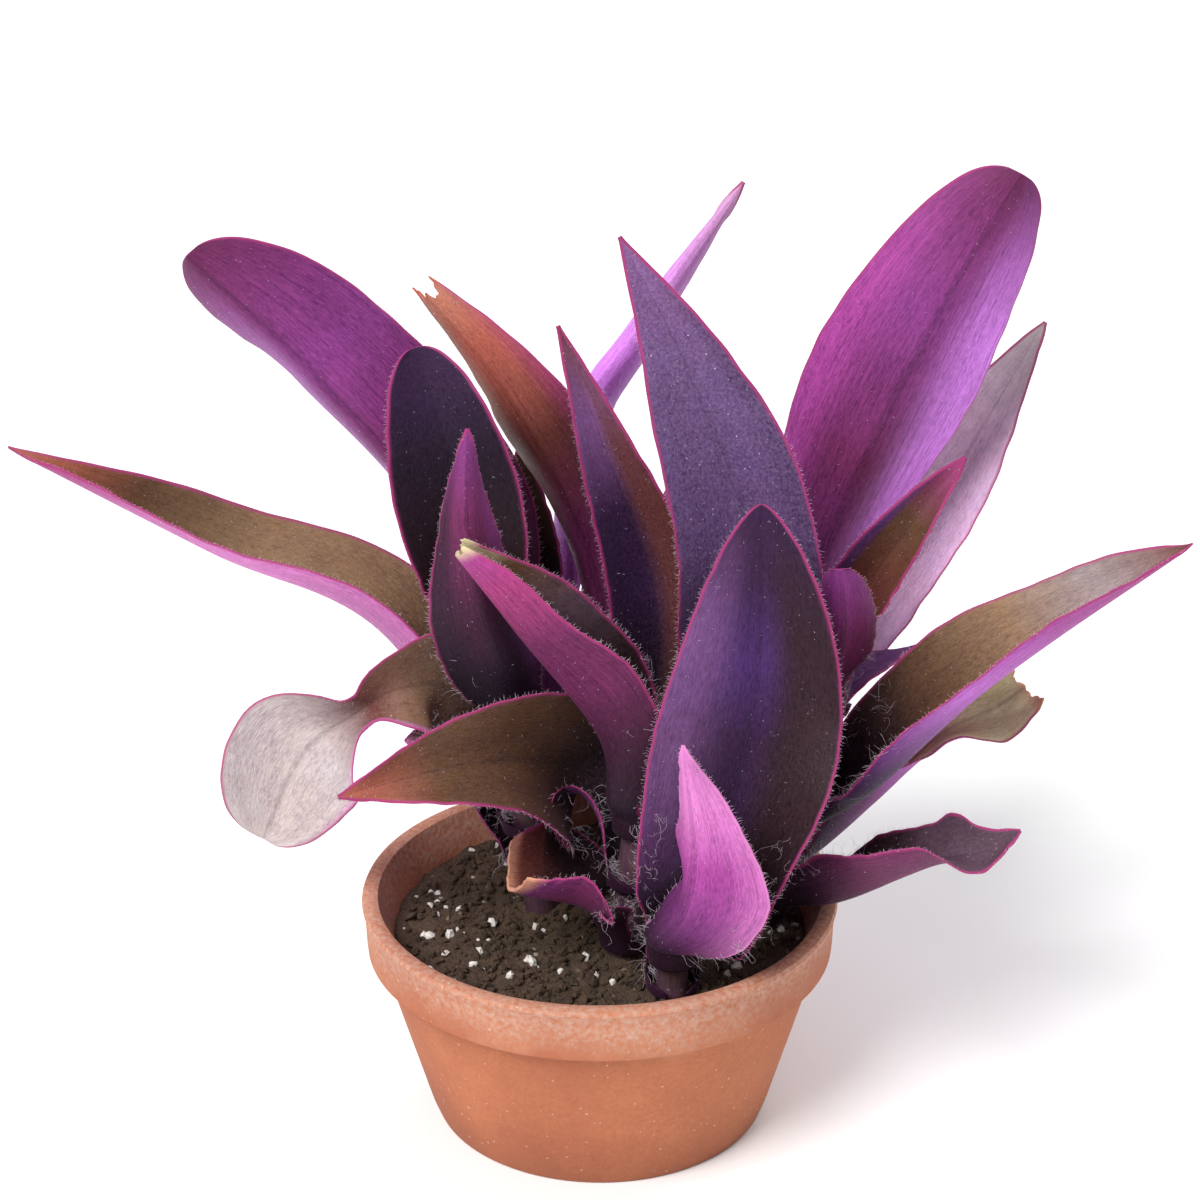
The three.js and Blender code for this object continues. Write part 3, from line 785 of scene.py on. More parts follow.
# %% Leaf outlines and the leaf table
FORMS = {
    "blade": (0.3, 0.4, 1.55, 1),
    "boat": (0.62, 0.42, 1.7, 0.66),
    "curl": (0.1, 0.4, 1, 1),
    "flare": (0.45, 0.3, 2, 1),
    "lance": (0.42, 0.42, 1.7, 0.9),
    "oar": (0.42, 0.52, 2, 0.42),
    "slim": (0.5, 0.35, 1.7, 0.9),
    "spear": (0.42, 0.32, 1.5, 1),
    "spoon": (0.42, 0.5, 1.7, 0.45),
}
LEAVES = {
    "front_tall": dict(
        stem="front", height=2, side=100, width=42, form="boat", wave=0.6,
        path=[[24, -23, 71], [32, -16, 109], [33, -8, 146]], face=[[-0.2, -1, 0.2], [0, -1, 0.2]],
        fold=[0.9, 0.4]),
    "front_curl": dict(
        stem="front", height=9, side=-130, width=33, form="curl", wave=0.4,
        path=[[17, -43, 70], [19, -45, 86], [16.5, -44, 109]],
        face=[[0.9, 0.5, 0.1], [0.6, 0.8, 0], [0.4, 1, -0.1]], fold=[1.0, 0.9, 1.2]),
    "low_left_torn": dict(
        stem="low", height=2, side=220, width=36, form="lance", wave=0.5, torn=0.8,
        path=[[-4, -17, 59], [-12, -21, 62], [-26, -26, 68.5]], face=[[0.6, 0, 0.8], [0.3, 0, 0.9]],
        fold=[0.5, 1.1]),
    "low_left_brown": dict(
        stem="low", height=17, side=129, width=38, form="spear", wave=1.4,
        path=[[-3, 2, 80], [-25, -19, 92.5], [-54, -28, 89]], face=[[0.5, -0.9, 0.1], [0.1, -0.8, 0.5]],
        fold=[0.7, 0.8]),
    "left_torn_pink": dict(
        stem="low", height=30, side=215, width=36, form="lance", wave=0.6, torn=0.95,
        path=[[0, -16, 97], [-17, -18, 122.5], [-32, -19, 144]],
        face=[[0.9, 0.1, 0.4], [0.8, -0.1, 0.5]], fold=[1.5, 1.5]),
    "rear_left_torn": dict(
        stem="centre", height=3, side=162, width=32, form="lance", wave=0.6, torn=0.95,
        path=[[0, 37, 107], [-18, 34, 151.5], [-44, 45, 181.5]], face=[[0.1, 1, -0.2], [0.3, 1, 0]],
        fold=[1.7, 0.9]),
    "centre_dark": dict(
        stem="centre", height=21.5, side=102, width=25, form="spear", wave=0.5,
        path=[[12, 28, 109], [0, 29, 146.5], [-9, 34, 170]], face=[[0.1, -1, 0.1], [0.1, -1, 0.2]],
        fold=[0.7, 0.6]),
    "left_droop": dict(
        stem="left", height=32.5, side=194, width=35, form="oar", wave=0.6, pinch=[0.5, 0.7],
        path=[[-32, -2, 101], [-42, -8, 104.5], [-51, -6, 98], [-63, -7, 88.5], [-73, -3, 66]],
        face=[[0.2, -1, 0.2], [0.2, -0.9, 0.3], [0.1, -0.9, 0.4], [0.1, -0.9, 0.4], [0.1, -0.9, 0.3]],
        fold=[0.4, 0.8, 1.2, 0.3, 0.3]),
    "far_left": dict(
        stem="left", height=10, side=132, width=31, form="slim", wave=0.5,
        path=[[-46, 14, 107], [-83, 16, 126], [-124.5, 14, 150]],
        face=[[0.7, -0.1, 0.8], [0.4, -0.2, 0.9]], fold=[1.05, 1]),
    "left_dark": dict(
        stem="left", height=20.5, side=131, width=32, form="spoon", wave=0.5,
        path=[[-26, 18, 113], [-33, 19, 147.5], [-39, 26, 168]], face=[[0.1, -1, 0.1], [0.1, -1, 0.2]],
        fold=[1.15, 0.4]),
    "left_young": dict(
        stem="left", height=44, side=-74, width=26, form="flare", wave=0.3,
        path=[[-23.5, -12, 121.5], [-27, -10, 143], [-27, -4, 161]],
        face=[[-0.4, 0.9, 0], [-0.1, 1, -0.1]], fold=[0.9, 1.1]),
    "low_right": dict(
        stem="right", height=2.5, side=-48, width=29, form="lance", wave=0.6,
        path=[[52, -14, 57], [70, -20, 69], [81, -22, 73], [88, -22, 78]],
        face=[[-0.2, 0.5, 0.8], [-0.4, 0.3, 0.9], [-0.4, -0.6, 0.7]], fold=[1.1, 0.8, 0.8]),
    "right_torn": dict(
        stem="right", height=10.5, side=12, width=30, form="spoon", wave=0.8, torn=0.93,
        path=[[60, 13, 66.5], [75, 16, 81], [88, 18, 88], [98, 20, 96]],
        face=[[-0.6, 0.1, 0.8], [-0.6, 0, 0.8], [-0.1, -0.9, 0.4]], fold=[0.8, 0.5, 1.2]),
    "far_right": dict(
        stem="right", height=21, side=-18, width=37, form="lance", wave=0.6,
        path=[[58.5, -3, 78.5], [83, -10, 108], [121, -12, 139]],
        face=[[-0.6, -0.2, 0.8], [-0.7, 0, 0.7]], fold=[1.05, 0.8]),
    "right_sliver": dict(
        stem="right", height=32.5, side=40, width=20, form="lance", wave=0.4,
        path=[[49.5, 19, 83.5], [57, 21, 92], [69.5, 26, 98.5]],
        face=[[-0.6, -0.1, 0.8], [-0.7, -0.1, 0.7]], fold=[0.35, 0.4]),
    "right_bud": dict(
        stem="right", height=52, side=-48, width=20, form="spoon", wave=0.3,
        path=[[50, -4, 108], [51, -4, 117.5], [50, -2, 129]], face=[[0.2, 0.9, -0.2], [0.1, 1, -0.2]],
        fold=[1.2, 1.1]),
    "rear_right_low": dict(
        stem="rear_right", height=3, side=71, width=32, form="lance", wave=0.9,
        path=[[44, 55, 64.5], [58, 78, 78], [74, 104, 74]], face=[[-0.3, -0.5, 0.8], [0.2, 0.4, 0.9]],
        fold=[0.9, 0.7]),
    "rear_right_pale": dict(
        stem="rear_right", height=12, side=42, width=34, form="lance", wave=0.6,
        path=[[65, 59, 96.5], [86, 70, 130], [101.5, 76, 156.5]],
        face=[[-0.2, -0.9, 0.5], [-0.3, -0.8, 0.5]], fold=[1.2, 0.7]),
    "tall_right": dict(
        stem="rear_right", height=22, side=-48, width=44, form="oar", wave=0.6,
        path=[[50, 39, 116.5], [70, 42, 163], [90, 46, 200]], face=[[0, 1, -0.1], [-0.1, 1, -0.1]],
        fold=[1.1, 0.6]),
    "right_young_brown": dict(
        stem="right", height=42, side=31, width=19, form="lance", wave=0.4,
        path=[[56, 22, 109.5], [67, 21, 129.5], [78.5, 26, 143]],
        face=[[-0.4, -0.9, 0.1], [-0.4, -0.9, 0.3]], fold=[1, 0.8]),
    "tall_centre": dict(
        stem="inner", height=10, side=74, width=38, form="blade", wave=0.5,
        path=[[32, 14, 124], [19, 13, 165.5], [4, 14, 196]], face=[[0, -1, -0.2], [0.1, -1, 0]],
        fold=[0.8, 0.3]),
    "rear_left_low": dict(
        stem="rear_left", height=3, side=102, width=31, form="lance", wave=0.9,
        path=[[-26, 56, 66], [-38, 78, 82], [-52, 104, 80]], face=[[0.2, -0.5, 0.8], [-0.2, 0.4, 0.9]],
        fold=[0.9, 0.7]),
    "rear_dark": dict(
        stem="rear_left", height=33, side=99, width=17, form="lance", wave=0.4,
        path=[[-16, 43, 94.5], [-15, 52, 110], [-18, 55, 135.5]], face=[[0, -1, 0.3], [0, -1, 0.2]],
        fold=[1, 0.9]),
    "upper_left": dict(
        stem="rear_left", height=23, side=191, width=45, form="oar", wave=0.6,
        path=[[-33, 28, 123.5], [-61.5, 32, 160.5], [-87.5, 35, 185.5]],
        face=[[0.3, 0.9, 0.2], [0.3, 0.9, 0.1]], fold=[1.2, 1.1, 0.55]),
    "rear_thin": dict(
        stem="rear_left", height=13, side=41, width=26, form="lance", wave=0.3,
        path=[[-6, 63, 129.5], [9, 69, 156.5], [32, 74, 190]],
        face=[[0.2, 0.9, -0.3], [0.1, 0.9, -0.3]], fold=[1.65, 1.6]),
    "rear_arch": dict(
        stem="rear", height=2, side=71, width=33, form="lance", wave=1,
        path=[[8, 68, 72], [10, 92, 92], [14, 122, 89]], face=[[0, -0.6, 0.8], [0, 0.3, 0.9]],
        fold=[0.9, 0.7]),
    "rear_upright": dict(
        stem="rear", height=14, side=71, width=34, form="lance", wave=0.6,
        path=[[20, 60, 92], [25, 68, 115], [27, 80, 136]], face=[[0, -1, 0.3], [0, -1, 0.4]],
        fold=[0.9, 0.6]),
}
print("stems:", len(STEMS), "leaves:", len(LEAVES))

# %% Stems
GAP = 0.3
SHEATH_LENGTH = 5
HOLE_DEPTH = 26
AXIS_RISE = 50
STEM_SIDES = 32
STEM_STEP = 0.8
STEM_SLACK = 0.25
JOINT_SWELL = 0.22
JOINT_LENGTH = 0.9
BUD_LENGTH = 2.4
BUD_STEPS = 8
BUD_FLAT = 0.04
STEM_MAP_LENGTH = 30


def unit(vectors):
    vectors = np.asarray(vectors, float)
    return vectors / np.linalg.norm(vectors, axis=-1, keepdims=True)


def stem_axis(stem):
    return unit((*stem["lean"], AXIS_RISE))


def along_stem(stem, height):
    return np.array([*stem["foot"], SOIL_TOP]) + stem_axis(stem) * height


def make_stem(name, stem):
    seats = [leaf["height"] for leaf in LEAVES.values() if leaf["stem"] == name]
    end = max(seats) + SHEATH_LENGTH - 1
    heights = np.concatenate([np.arange(GAP - HOLE_DEPTH, end - BUD_LENGTH - 0.1, STEM_STEP),
                              end - BUD_LENGTH * np.cos(np.linspace(0, math.pi / 2, BUD_STEPS))])
    radius = np.full(len(heights), stem["radius"] - STEM_SLACK)
    for seat in seats:
        radius += JOINT_SWELL * np.exp(-((heights - seat) / JOINT_LENGTH) ** 2)
    into_bud = np.clip((heights - end + BUD_LENGTH) / BUD_LENGTH, 0, 1)
    radius *= np.sqrt(np.maximum(1 - into_bud ** 2, BUD_FLAT))
    axis = stem_axis(stem)
    across = unit(np.cross(axis, (0, 1, 0)))
    other = np.cross(axis, across)
    turn = turned(STEM_SIDES)
    ring = np.cos(turn)[:, None] * across + np.sin(turn)[:, None] * other
    centres = np.array([along_stem(stem, h) for h in heights])
    points = (centres[:, None] + radius[:, None, None] * ring).reshape(-1, 3)
    faces = rings_to_faces(len(heights), STEM_SIDES)
    faces.append(list(range(STEM_SIDES))[::-1])
    faces.append(list(range(len(points) - STEM_SIDES, len(points))))
    piece = add_piece(f"stem_{name}_fine", points, faces, stem_material, "stem", f"stem_{name}")
    grid = np.stack(np.meshgrid(heights / STEM_MAP_LENGTH, turn / FULL_TURN, indexing="ij"), -1)
    store_map(piece, "stem_map", grid[..., ::-1].reshape(-1, 2))


for stem_name, stem in STEMS.items():
    make_stem(stem_name, stem)
print("stems made:", len(STEMS))

# %% [markdown]
# ## How a leaf is shaped
# A leaf is a strip that first wraps its stem and then opens into a blade. Three things fix it at each step
# along its length: where its midrib is, which way its upper side looks, and how far its two halves turn
# up. The sheath is wrapped almost all the way round, and the turn eases off as the blade unrolls. These
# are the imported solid's own curves, worked out for many more steps, so the fine leaf lies on the solid.

# %% Leaf sizes
SHEATH_FLARE = 0.8
SHEATH_TURN = 2.75
MOUTH_TURN = 1.05
FACET_ROOM = 0.84
MIDRIB_THICKNESS = 0.95
EDGE_THICKNESS = 0.65
TIP_HALF = 0.3
TIP_FLAT = 3
START_RISE = 0.6
START_LEAN = 0.8
UNROLL = 0.13
PINCH_SPREAD = 0.13
KEEL = 0.55
KEEL_WIDTH = 0.13
TEAR = (0, 0.5, 0.9, 0.5, 0.7, 0.2, 0)
TEAR_DEPTH = 0.035
TIP_PULL = 0.9
MIDRIB_STEPS = 40
STEP_AHEAD = 0.01
RIPPLE_ALONG = 17
RIPPLE_ACROSS = 1.3
RIPPLE_FADE = (0.15, 0.4)
PARTS = 24
print("blade thickness:", EDGE_THICKNESS, "to", MIDRIB_THICKNESS, "mm")

# %% Midrib and outline
def midrib(mouth, start, path):
    knots = np.array([mouth, *path], float)
    pulls = np.empty_like(knots)
    pulls[0] = start * np.linalg.norm(knots[1] - knots[0])
    pulls[1:-1] = (knots[2:] - knots[:-2]) / 2
    pulls[-1] = (knots[-1] - knots[-2]) * TIP_PULL
    x = np.arange(1, MIDRIB_STEPS + 1)[:, None] / MIDRIB_STEPS
    points = [knots[:1]]
    for i in range(len(path)):
        points.append((2 * x ** 3 - 3 * x ** 2 + 1) * knots[i] + (x ** 3 - 2 * x ** 2 + x) * pulls[i]
                      + (3 * x ** 2 - 2 * x ** 3) * knots[i + 1] + (x ** 3 - x ** 2) * pulls[i + 1])
    points = np.vstack(points)
    lengths = np.concatenate([[0], np.cumsum(np.linalg.norm(np.diff(points, axis=0), axis=1))])
    return points, lengths / lengths[-1], lengths[::MIDRIB_STEPS] / lengths[-1], lengths[-1]


def outline(form, t):
    base, peak, power, sharp = FORMS[form]
    rising = 1 - (1 - base) * (1 - t / peak) ** 2
    x = np.clip((t - peak) / (1 - peak), 0, 1)
    return np.where(t < peak, rising, np.maximum(1 - x ** power, 0) ** sharp)


print("width of a lance at its middle:", outline("lance", np.array([0.5])).round(2))

# %% Everything that a leaf's cross sections need
def leaf_plan(leaf):
    stem = STEMS[leaf["stem"]]
    axis = stem_axis(stem)
    angle = math.radians(leaf["side"])
    out = np.array([math.cos(angle), math.sin(angle), 0])
    out = unit(out - axis * (out @ axis))
    wrap = (stem["radius"] + GAP) / FACET_ROOM + EDGE_THICKNESS / 2
    base = along_stem(stem, leaf["height"] + GAP) + out * wrap
    mouth = base + axis * SHEATH_LENGTH + out * SHEATH_FLARE
    start = unit(axis * START_RISE + out * START_LEAN)
    points, shares, marks, length = midrib(mouth, start, leaf["path"])
    faces = [-out, *unit(leaf["face"])]
    folds = [leaf["fold"][0], *leaf["fold"]]
    while len(faces) < len(leaf["path"]) + 1:
        faces.append(faces[-1])
        folds.append(folds[-1])
    return dict(leaf=leaf, axis=axis, out=out, wrap=wrap, base=base, start=start, points=points,
                shares=shares, marks=marks, length=length, faces=np.array(faces), folds=np.array(folds))


def at_share(plan, t):
    t = np.clip(t, 0, 1)
    return np.stack([np.interp(t, plan["shares"], plan["points"][:, k]) for k in range(3)], -1)


print("longest midrib:", round(max(leaf_plan(leaf)["length"] for leaf in LEAVES.values())), "mm")

# %% Cross sections
def blade_sections(plan, t):
    leaf = plan["leaf"]
    ahead = unit(at_share(plan, t + STEP_AHEAD) - at_share(plan, t - STEP_AHEAD))
    ahead[t == 0] = plan["start"]
    marks = plan["marks"]
    span = np.clip(np.searchsorted(marks, t) - 1, 0, len(marks) - 2)
    mix = smooth(0, 1, (t - marks[span]) / (marks[span + 1] - marks[span]))
    face = plan["faces"][span] * (1 - mix[:, None]) + plan["faces"][span + 1] * mix[:, None]
    face = unit(face - ahead * np.sum(face * ahead, 1, keepdims=True))
    fold = plan["folds"][span] * (1 - mix) + plan["folds"][span + 1] * mix
    opened = smooth(0, UNROLL, t)
    place, depth = leaf.get("pinch", (0, 0))
    crease = 1 - depth * np.exp(-((t - place) / PINCH_SPREAD) ** 2)
    spread = leaf["width"] / 2 * outline(leaf["form"], t) * crease
    half = MOUTH_TURN * (plan["wrap"] + SHEATH_FLARE) * (1 - opened) + spread * opened
    half = np.hypot(half, TIP_HALF)
    turn = (MOUTH_TURN * (1 - opened) + fold * opened) * np.minimum(half / TIP_FLAT, 1)
    return at_share(plan, t), np.cross(ahead, face), face, turn, KEEL * opened, half


def sheath_sections(plan, t):
    rise = (1 + t)[:, None]
    centre = plan["base"] + plan["axis"] * rise * SHEATH_LENGTH + plan["out"] * rise * SHEATH_FLARE
    face = np.broadcast_to(-plan["out"], centre.shape)
    turn = SHEATH_TURN + (MOUTH_TURN - SHEATH_TURN) * smooth(0.2, 1, 1 + t)
    half = turn * (plan["wrap"] + (1 + t) * SHEATH_FLARE)
    return centre, np.cross(plan["axis"], face), face, turn, np.zeros(len(t)), half


def sections(plan, t):
    blade, sheath = blade_sections(plan, np.maximum(t, 0)), sheath_sections(plan, np.minimum(t, 0))
    pick = t < 0
    return [np.where(pick[:, None] if a.ndim == 2 else pick, b, a) for a, b in zip(blade, sheath)]


print("sections give centre, side, face, turn, keel and half width")

# %% A leaf's middle surface
def direction(turn, keel, s):
    sharp = np.tanh(s / KEEL_WIDTH) / math.tanh(1 / KEEL_WIDTH)
    return turn * (s * (1 - keel) + sharp * keel)


def on_leaf(plan, t, s):
    centre, side, face, turn, keel, half = sections(plan, t)
    across, up = np.zeros_like(s), np.zeros_like(s)
    for k in range(PARTS):
        angle = direction(turn, keel, s * (k + 0.5) / PARTS)
        across += np.cos(angle) * s / PARTS
        up += np.sin(angle) * s / PARTS
    leaf = plan["leaf"]
    fade = smooth(*RIPPLE_FADE, t) * np.minimum(half / TIP_FLAT, 1)
    ripple = leaf["wave"] * s * s * fade * np.sin(RIPPLE_ALONG * t + RIPPLE_ACROSS * s + leaf["side"])
    angle = direction(turn, keel, s)[:, None]
    normal = face * np.cos(angle) - side * np.sin(angle)
    tangent = side * np.cos(angle) + face * np.sin(angle)
    point = centre + side * (half * across)[:, None] + face * (half * up + ripple)[:, None]
    return point, normal, tangent, half


print("surface helper ready, with", PARTS, "parts across")

# %% [markdown]
# ## How a leaf is coloured
# Each side of a leaf gets a few named colours from its base to its tip. *Flanks* are more colours, each of
# which takes over towards one edge, because the two halves of a folded leaf catch the light differently. A
# flank says its colour, its side (1 or -1), where on the way to the edge it starts and is full, and how
# strong it is. Each leaf is also darkened towards its base and sheath, which is painted shade. The margin
# is a thin pink line all round, and a torn tip has a dried rim. All of it is mixed at the mesh's points,
# which are close enough together for colours that change slowly. Lines and specks come from the shader.

# %% Colours by name
PALETTE = {
    "night": "#180b1a", "plum": "#301538", "indigo": "#472660", "violet": "#582e68", "slate": "#634672",
    "mauve": "#855888", "umber": "#28130f", "olive": "#5e4022", "moss": "#947652", "copper": "#6e3a28",
    "rust": "#b8644a", "peach": "#d39a72", "cream": "#d9cf9c", "maroon": "#421430", "wine": "#6c2450",
    "magenta": "#883a80", "fuchsia": "#ae4898", "orchid": "#c46ccc", "lilac": "#e08cee",
    "pink": "#e288c8", "rose": "#a23870", "blush": "#dba8c8", "silver": "#ccc0b3", "veil": "#efc9dd",
    "ash": "#5a434a", "stone": "#a3948a",
}
# Near-black night, where it stands at a leaf's base or in a flank, is painted shade
LOOKS = {
    "front_tall": dict(upper="night night plum plum indigo plum plum", under="magenta orchid magenta",
                       bloom=0.05, flanks=(("umber", 1, 0.0, 0.5, 0.95), ("mauve", -1, 0.1, 0.8, 0.75))),
    "front_curl": dict(upper="umber plum plum", under="night magenta fuchsia pink pink", margin="pink",
                       under_flanks=(("pink", -1, 0.4, 1.0, 0.6),), bloom=0.2),
    "low_left_torn": dict(upper="umber umber copper rust", under="maroon wine magenta", rim="peach"),
    "low_left_brown": dict(upper="night umber olive olive rust", under="magenta orchid", bloom=0.25),
    "left_torn_pink": dict(upper="night umber umber ash olive cream", rim="cream",
                           under="night maroon wine wine rose fuchsia",
                           under_flanks=(("maroon", 1, 0.0, 0.9, 0.6),)),
    "rear_left_torn": dict(upper="umber olive rust", under="maroon wine wine wine copper rust peach",
                           rim="rust", under_flanks=(("rose", -1, 0.4, 0.95, 0.6),
                                                     ("moss", 1, 0.2, 0.8, 0.6))),
    "centre_dark": dict(upper="night night plum plum mauve copper", under="magenta orchid", bloom=0.2,
                        flanks=(("copper", 1, -0.1, 0.45, 0.85),)),
    # The silver outer part of left_droop is its pale hairy blade with a painted sheen on it
    "left_droop": dict(upper="umber olive moss copper silver silver silver", under="magenta pink blush",
                       bloom=0.5, flanks=(("pink", -1, 0.85, 1.0, 0.7),)),
    "far_left": dict(upper="umber olive moss moss olive rust", under="orchid pink pink rose"),
    "left_dark": dict(upper="night umber umber night plum", under="magenta orchid", bloom=0.06),
    # The night flank of left_young is painted shadow on one half of its under side
    "left_young": dict(upper="plum plum", under="night night maroon wine magenta",
                       under_flanks=(("night", 1, 0.3, 0.7, 0.7), ("magenta", -1, 0.3, 0.7, 0.5))),
    "low_right": dict(upper="night umber umber ash ash", under="night maroon wine wine rose", bloom=0.25),
    "right_torn": dict(upper="olive stone peach cream cream", under="plum magenta orchid orchid",
                       rim="peach"),
    "far_right": dict(upper="night umber olive moss stone copper", under="plum violet orchid fuchsia rose"),
    "right_sliver": dict(upper="plum mauve mauve", under="plum orchid magenta"),
    "right_bud": dict(upper="plum wine", under="wine wine magenta"),
    "rear_right_low": dict(upper="umber plum olive olive", under="magenta orchid magenta"),
    # rear_right_pale's very light stops are its pale pink colour with painted light shining through it
    "rear_right_pale": dict(upper="pink veil veil veil silver", under="pink veil veil veil silver"),
    "tall_right": dict(upper="plum violet slate", under="magenta magenta wine magenta wine",
                       under_flanks=(("lilac", -1, 0.05, 0.7, 0.95), ("fuchsia", 1, 0.3, 0.9, 0.9))),
    "right_young_brown": dict(upper="umber olive copper olive rose", under="magenta wine",
                              flanks=(("violet", -1, 0.55, 0.8, 0.9),)),
    "tall_centre": dict(upper="violet slate slate slate mauve", under="magenta orchid", bloom=0.9,
                        flanks=(("plum", 1, 0.4, 0.95, 0.5),)),
    "rear_left_low": dict(upper="umber plum olive moss", under="magenta orchid magenta"),
    "rear_dark": dict(upper="night umber olive", under="wine magenta"),
    "upper_left": dict(upper="plum violet slate", under="maroon maroon wine magenta wine",
                       under_flanks=(("orchid", 1, 0.05, 0.4, 0.5),)),
    "rear_thin": dict(upper="plum mauve", under="magenta orchid lilac blush"),
    "rear_arch": dict(upper="umber plum olive moss", under="wine magenta orchid"),
    "rear_upright": dict(upper="plum violet slate mauve", under="wine magenta orchid"),
}
print("palette:", len(PALETTE), "colours")

# %% Mix the colours at a leaf's points
MARGIN_COLOUR = "rose"
MARGIN_SHARE = 0.9
MARGIN_WIDTHS = (0.65, 0.15)
RIM_SHARE = 0.9
RIM_WIDTHS = (4.0, 0.6)
MIDRIB_SHADE = 0.25
MIDRIB_LINE = 0.03
SHEATH_SHARE = 0.8
# Brightness kept at a leaf's base under the painted shade that darkens it towards the base
BASE_BRIGHTNESS_IN_PAINTED_SHADE = 0.3


def stops(names, t):
    colours = np.array([linear(PALETTE[name]) for name in names.split()])
    places = np.linspace(0, 1, len(colours))
    return np.stack([np.interp(t, places, colours[:, k]) for k in range(3)], -1)


def blend_to(colours, name, share):
    return colours + (linear(PALETTE[name]) - colours) * np.asarray(share)[:, None]


def side_tint(names, flanks, look, t, s, inward, from_tip):
    tint = stops(names, t)
    for name, sign, low, high, amount in flanks:
        along = smooth(0.0, 0.25, t) * smooth(1.05, 0.7, t)
        tint = blend_to(tint, name, amount * smooth(low, high, s * sign) * along)
    tint = tint * (1 - MIDRIB_SHADE * np.exp(-(s / MIDRIB_LINE) ** 2))[:, None]
    tint = blend_to(tint, "maroon", SHEATH_SHARE * smooth(0.08, -0.15, t))
    # Painted shade: each leaf is darkened towards its base and sheath
    tint = tint * (BASE_BRIGHTNESS_IN_PAINTED_SHADE + (1 - BASE_BRIGHTNESS_IN_PAINTED_SHADE) * smooth(-0.15, 0.55, t))[:, None]
    margin = MARGIN_SHARE * smooth(*MARGIN_WIDTHS, inward) * smooth(-0.1, 0.1, t)
    tint = blend_to(tint, look.get("margin", MARGIN_COLOUR), margin)
    if "rim" in look:
        tint = blend_to(tint, look["rim"], RIM_SHARE * smooth(*RIM_WIDTHS, from_tip))
    return tint


print("looks for", len(LOOKS), "leaves")

# %% [markdown]
# ## The fine leaf
# The strip is laid out as rings: across the upper side, round a thin rim, back across the under side and
# round the other rim. The rings are closer together near the tip and the points closer near the margins,
# where the shape changes most. Low ridges run over the veins, and the margin wavers a little.

# %% Leaf mesh
ROWS = 84
SHEATH_ROWS = 9
COLUMNS = 32
RIM = 0.22
RIDGE = 0.05
RIDGE_COUNT = 7
WAVER = 0.1
SWELL = 0.05
CALM_HALF = 6
TIP_CROWDING = 0.85
EDGE_CROWDING = 0.25
EDGE_THINNING = 0.4
TIP_THICKNESS = 0.35
RAGS = ((0.1, 19), (0.06, 43))
BLOOM = 0.12
UNDER_BLOOM = 0.4


def leaf_grid(leaf):
    share = np.linspace(0, 1, ROWS)
    rows = np.concatenate([np.linspace(-1, 0, SHEATH_ROWS, endpoint=False),
                           share + TIP_CROWDING * (np.sin(share * math.pi / 2) - share)])
    s = np.linspace(-1, 1, COLUMNS + 1)
    s = s * (1 + EDGE_CROWDING * (1 - s * s))
    t = np.repeat(rows, len(s)).reshape(len(rows), len(s))
    if "torn" in leaf:
        (long, few), (short, many) = RAGS
        ragged = np.interp(s, np.linspace(-1, 1, len(TEAR)), TEAR)
        ragged = ragged + long * np.sin(few * s + leaf["side"]) + short * np.sin(many * s)
        t = np.where(t < 0, t, t * leaf["torn"] - TEAR_DEPTH * ragged * smooth(0.7, 1, t))
    return t, np.broadcast_to(s, t.shape)


def fine_surface(plan, t, s):
    point, normal, tangent, half = on_leaf(plan, t, s)
    room = smooth(0.1, 0.3, t) * np.minimum(half / CALM_HALF, 1)
    phase = plan["leaf"]["side"]
    waver = WAVER * s ** 6 * (np.sin(61 * t + phase + s) + np.sin(97 * t + 2 * phase)) * room
    swell = SWELL * s ** 7 * np.sin(79 * t + 3 * phase) * room
    ridge = RIDGE * np.cos(FULL_TURN * RIDGE_COUNT * s) * room * (1 - s ** 8)
    point = point + normal * (waver + ridge)[:, None] + tangent * swell[:, None]
    return point, normal, tangent, half


def both_sides(over, below):
    return np.concatenate([over, over[:, -1:], below[:, ::-1], over[:, :1]], 1)


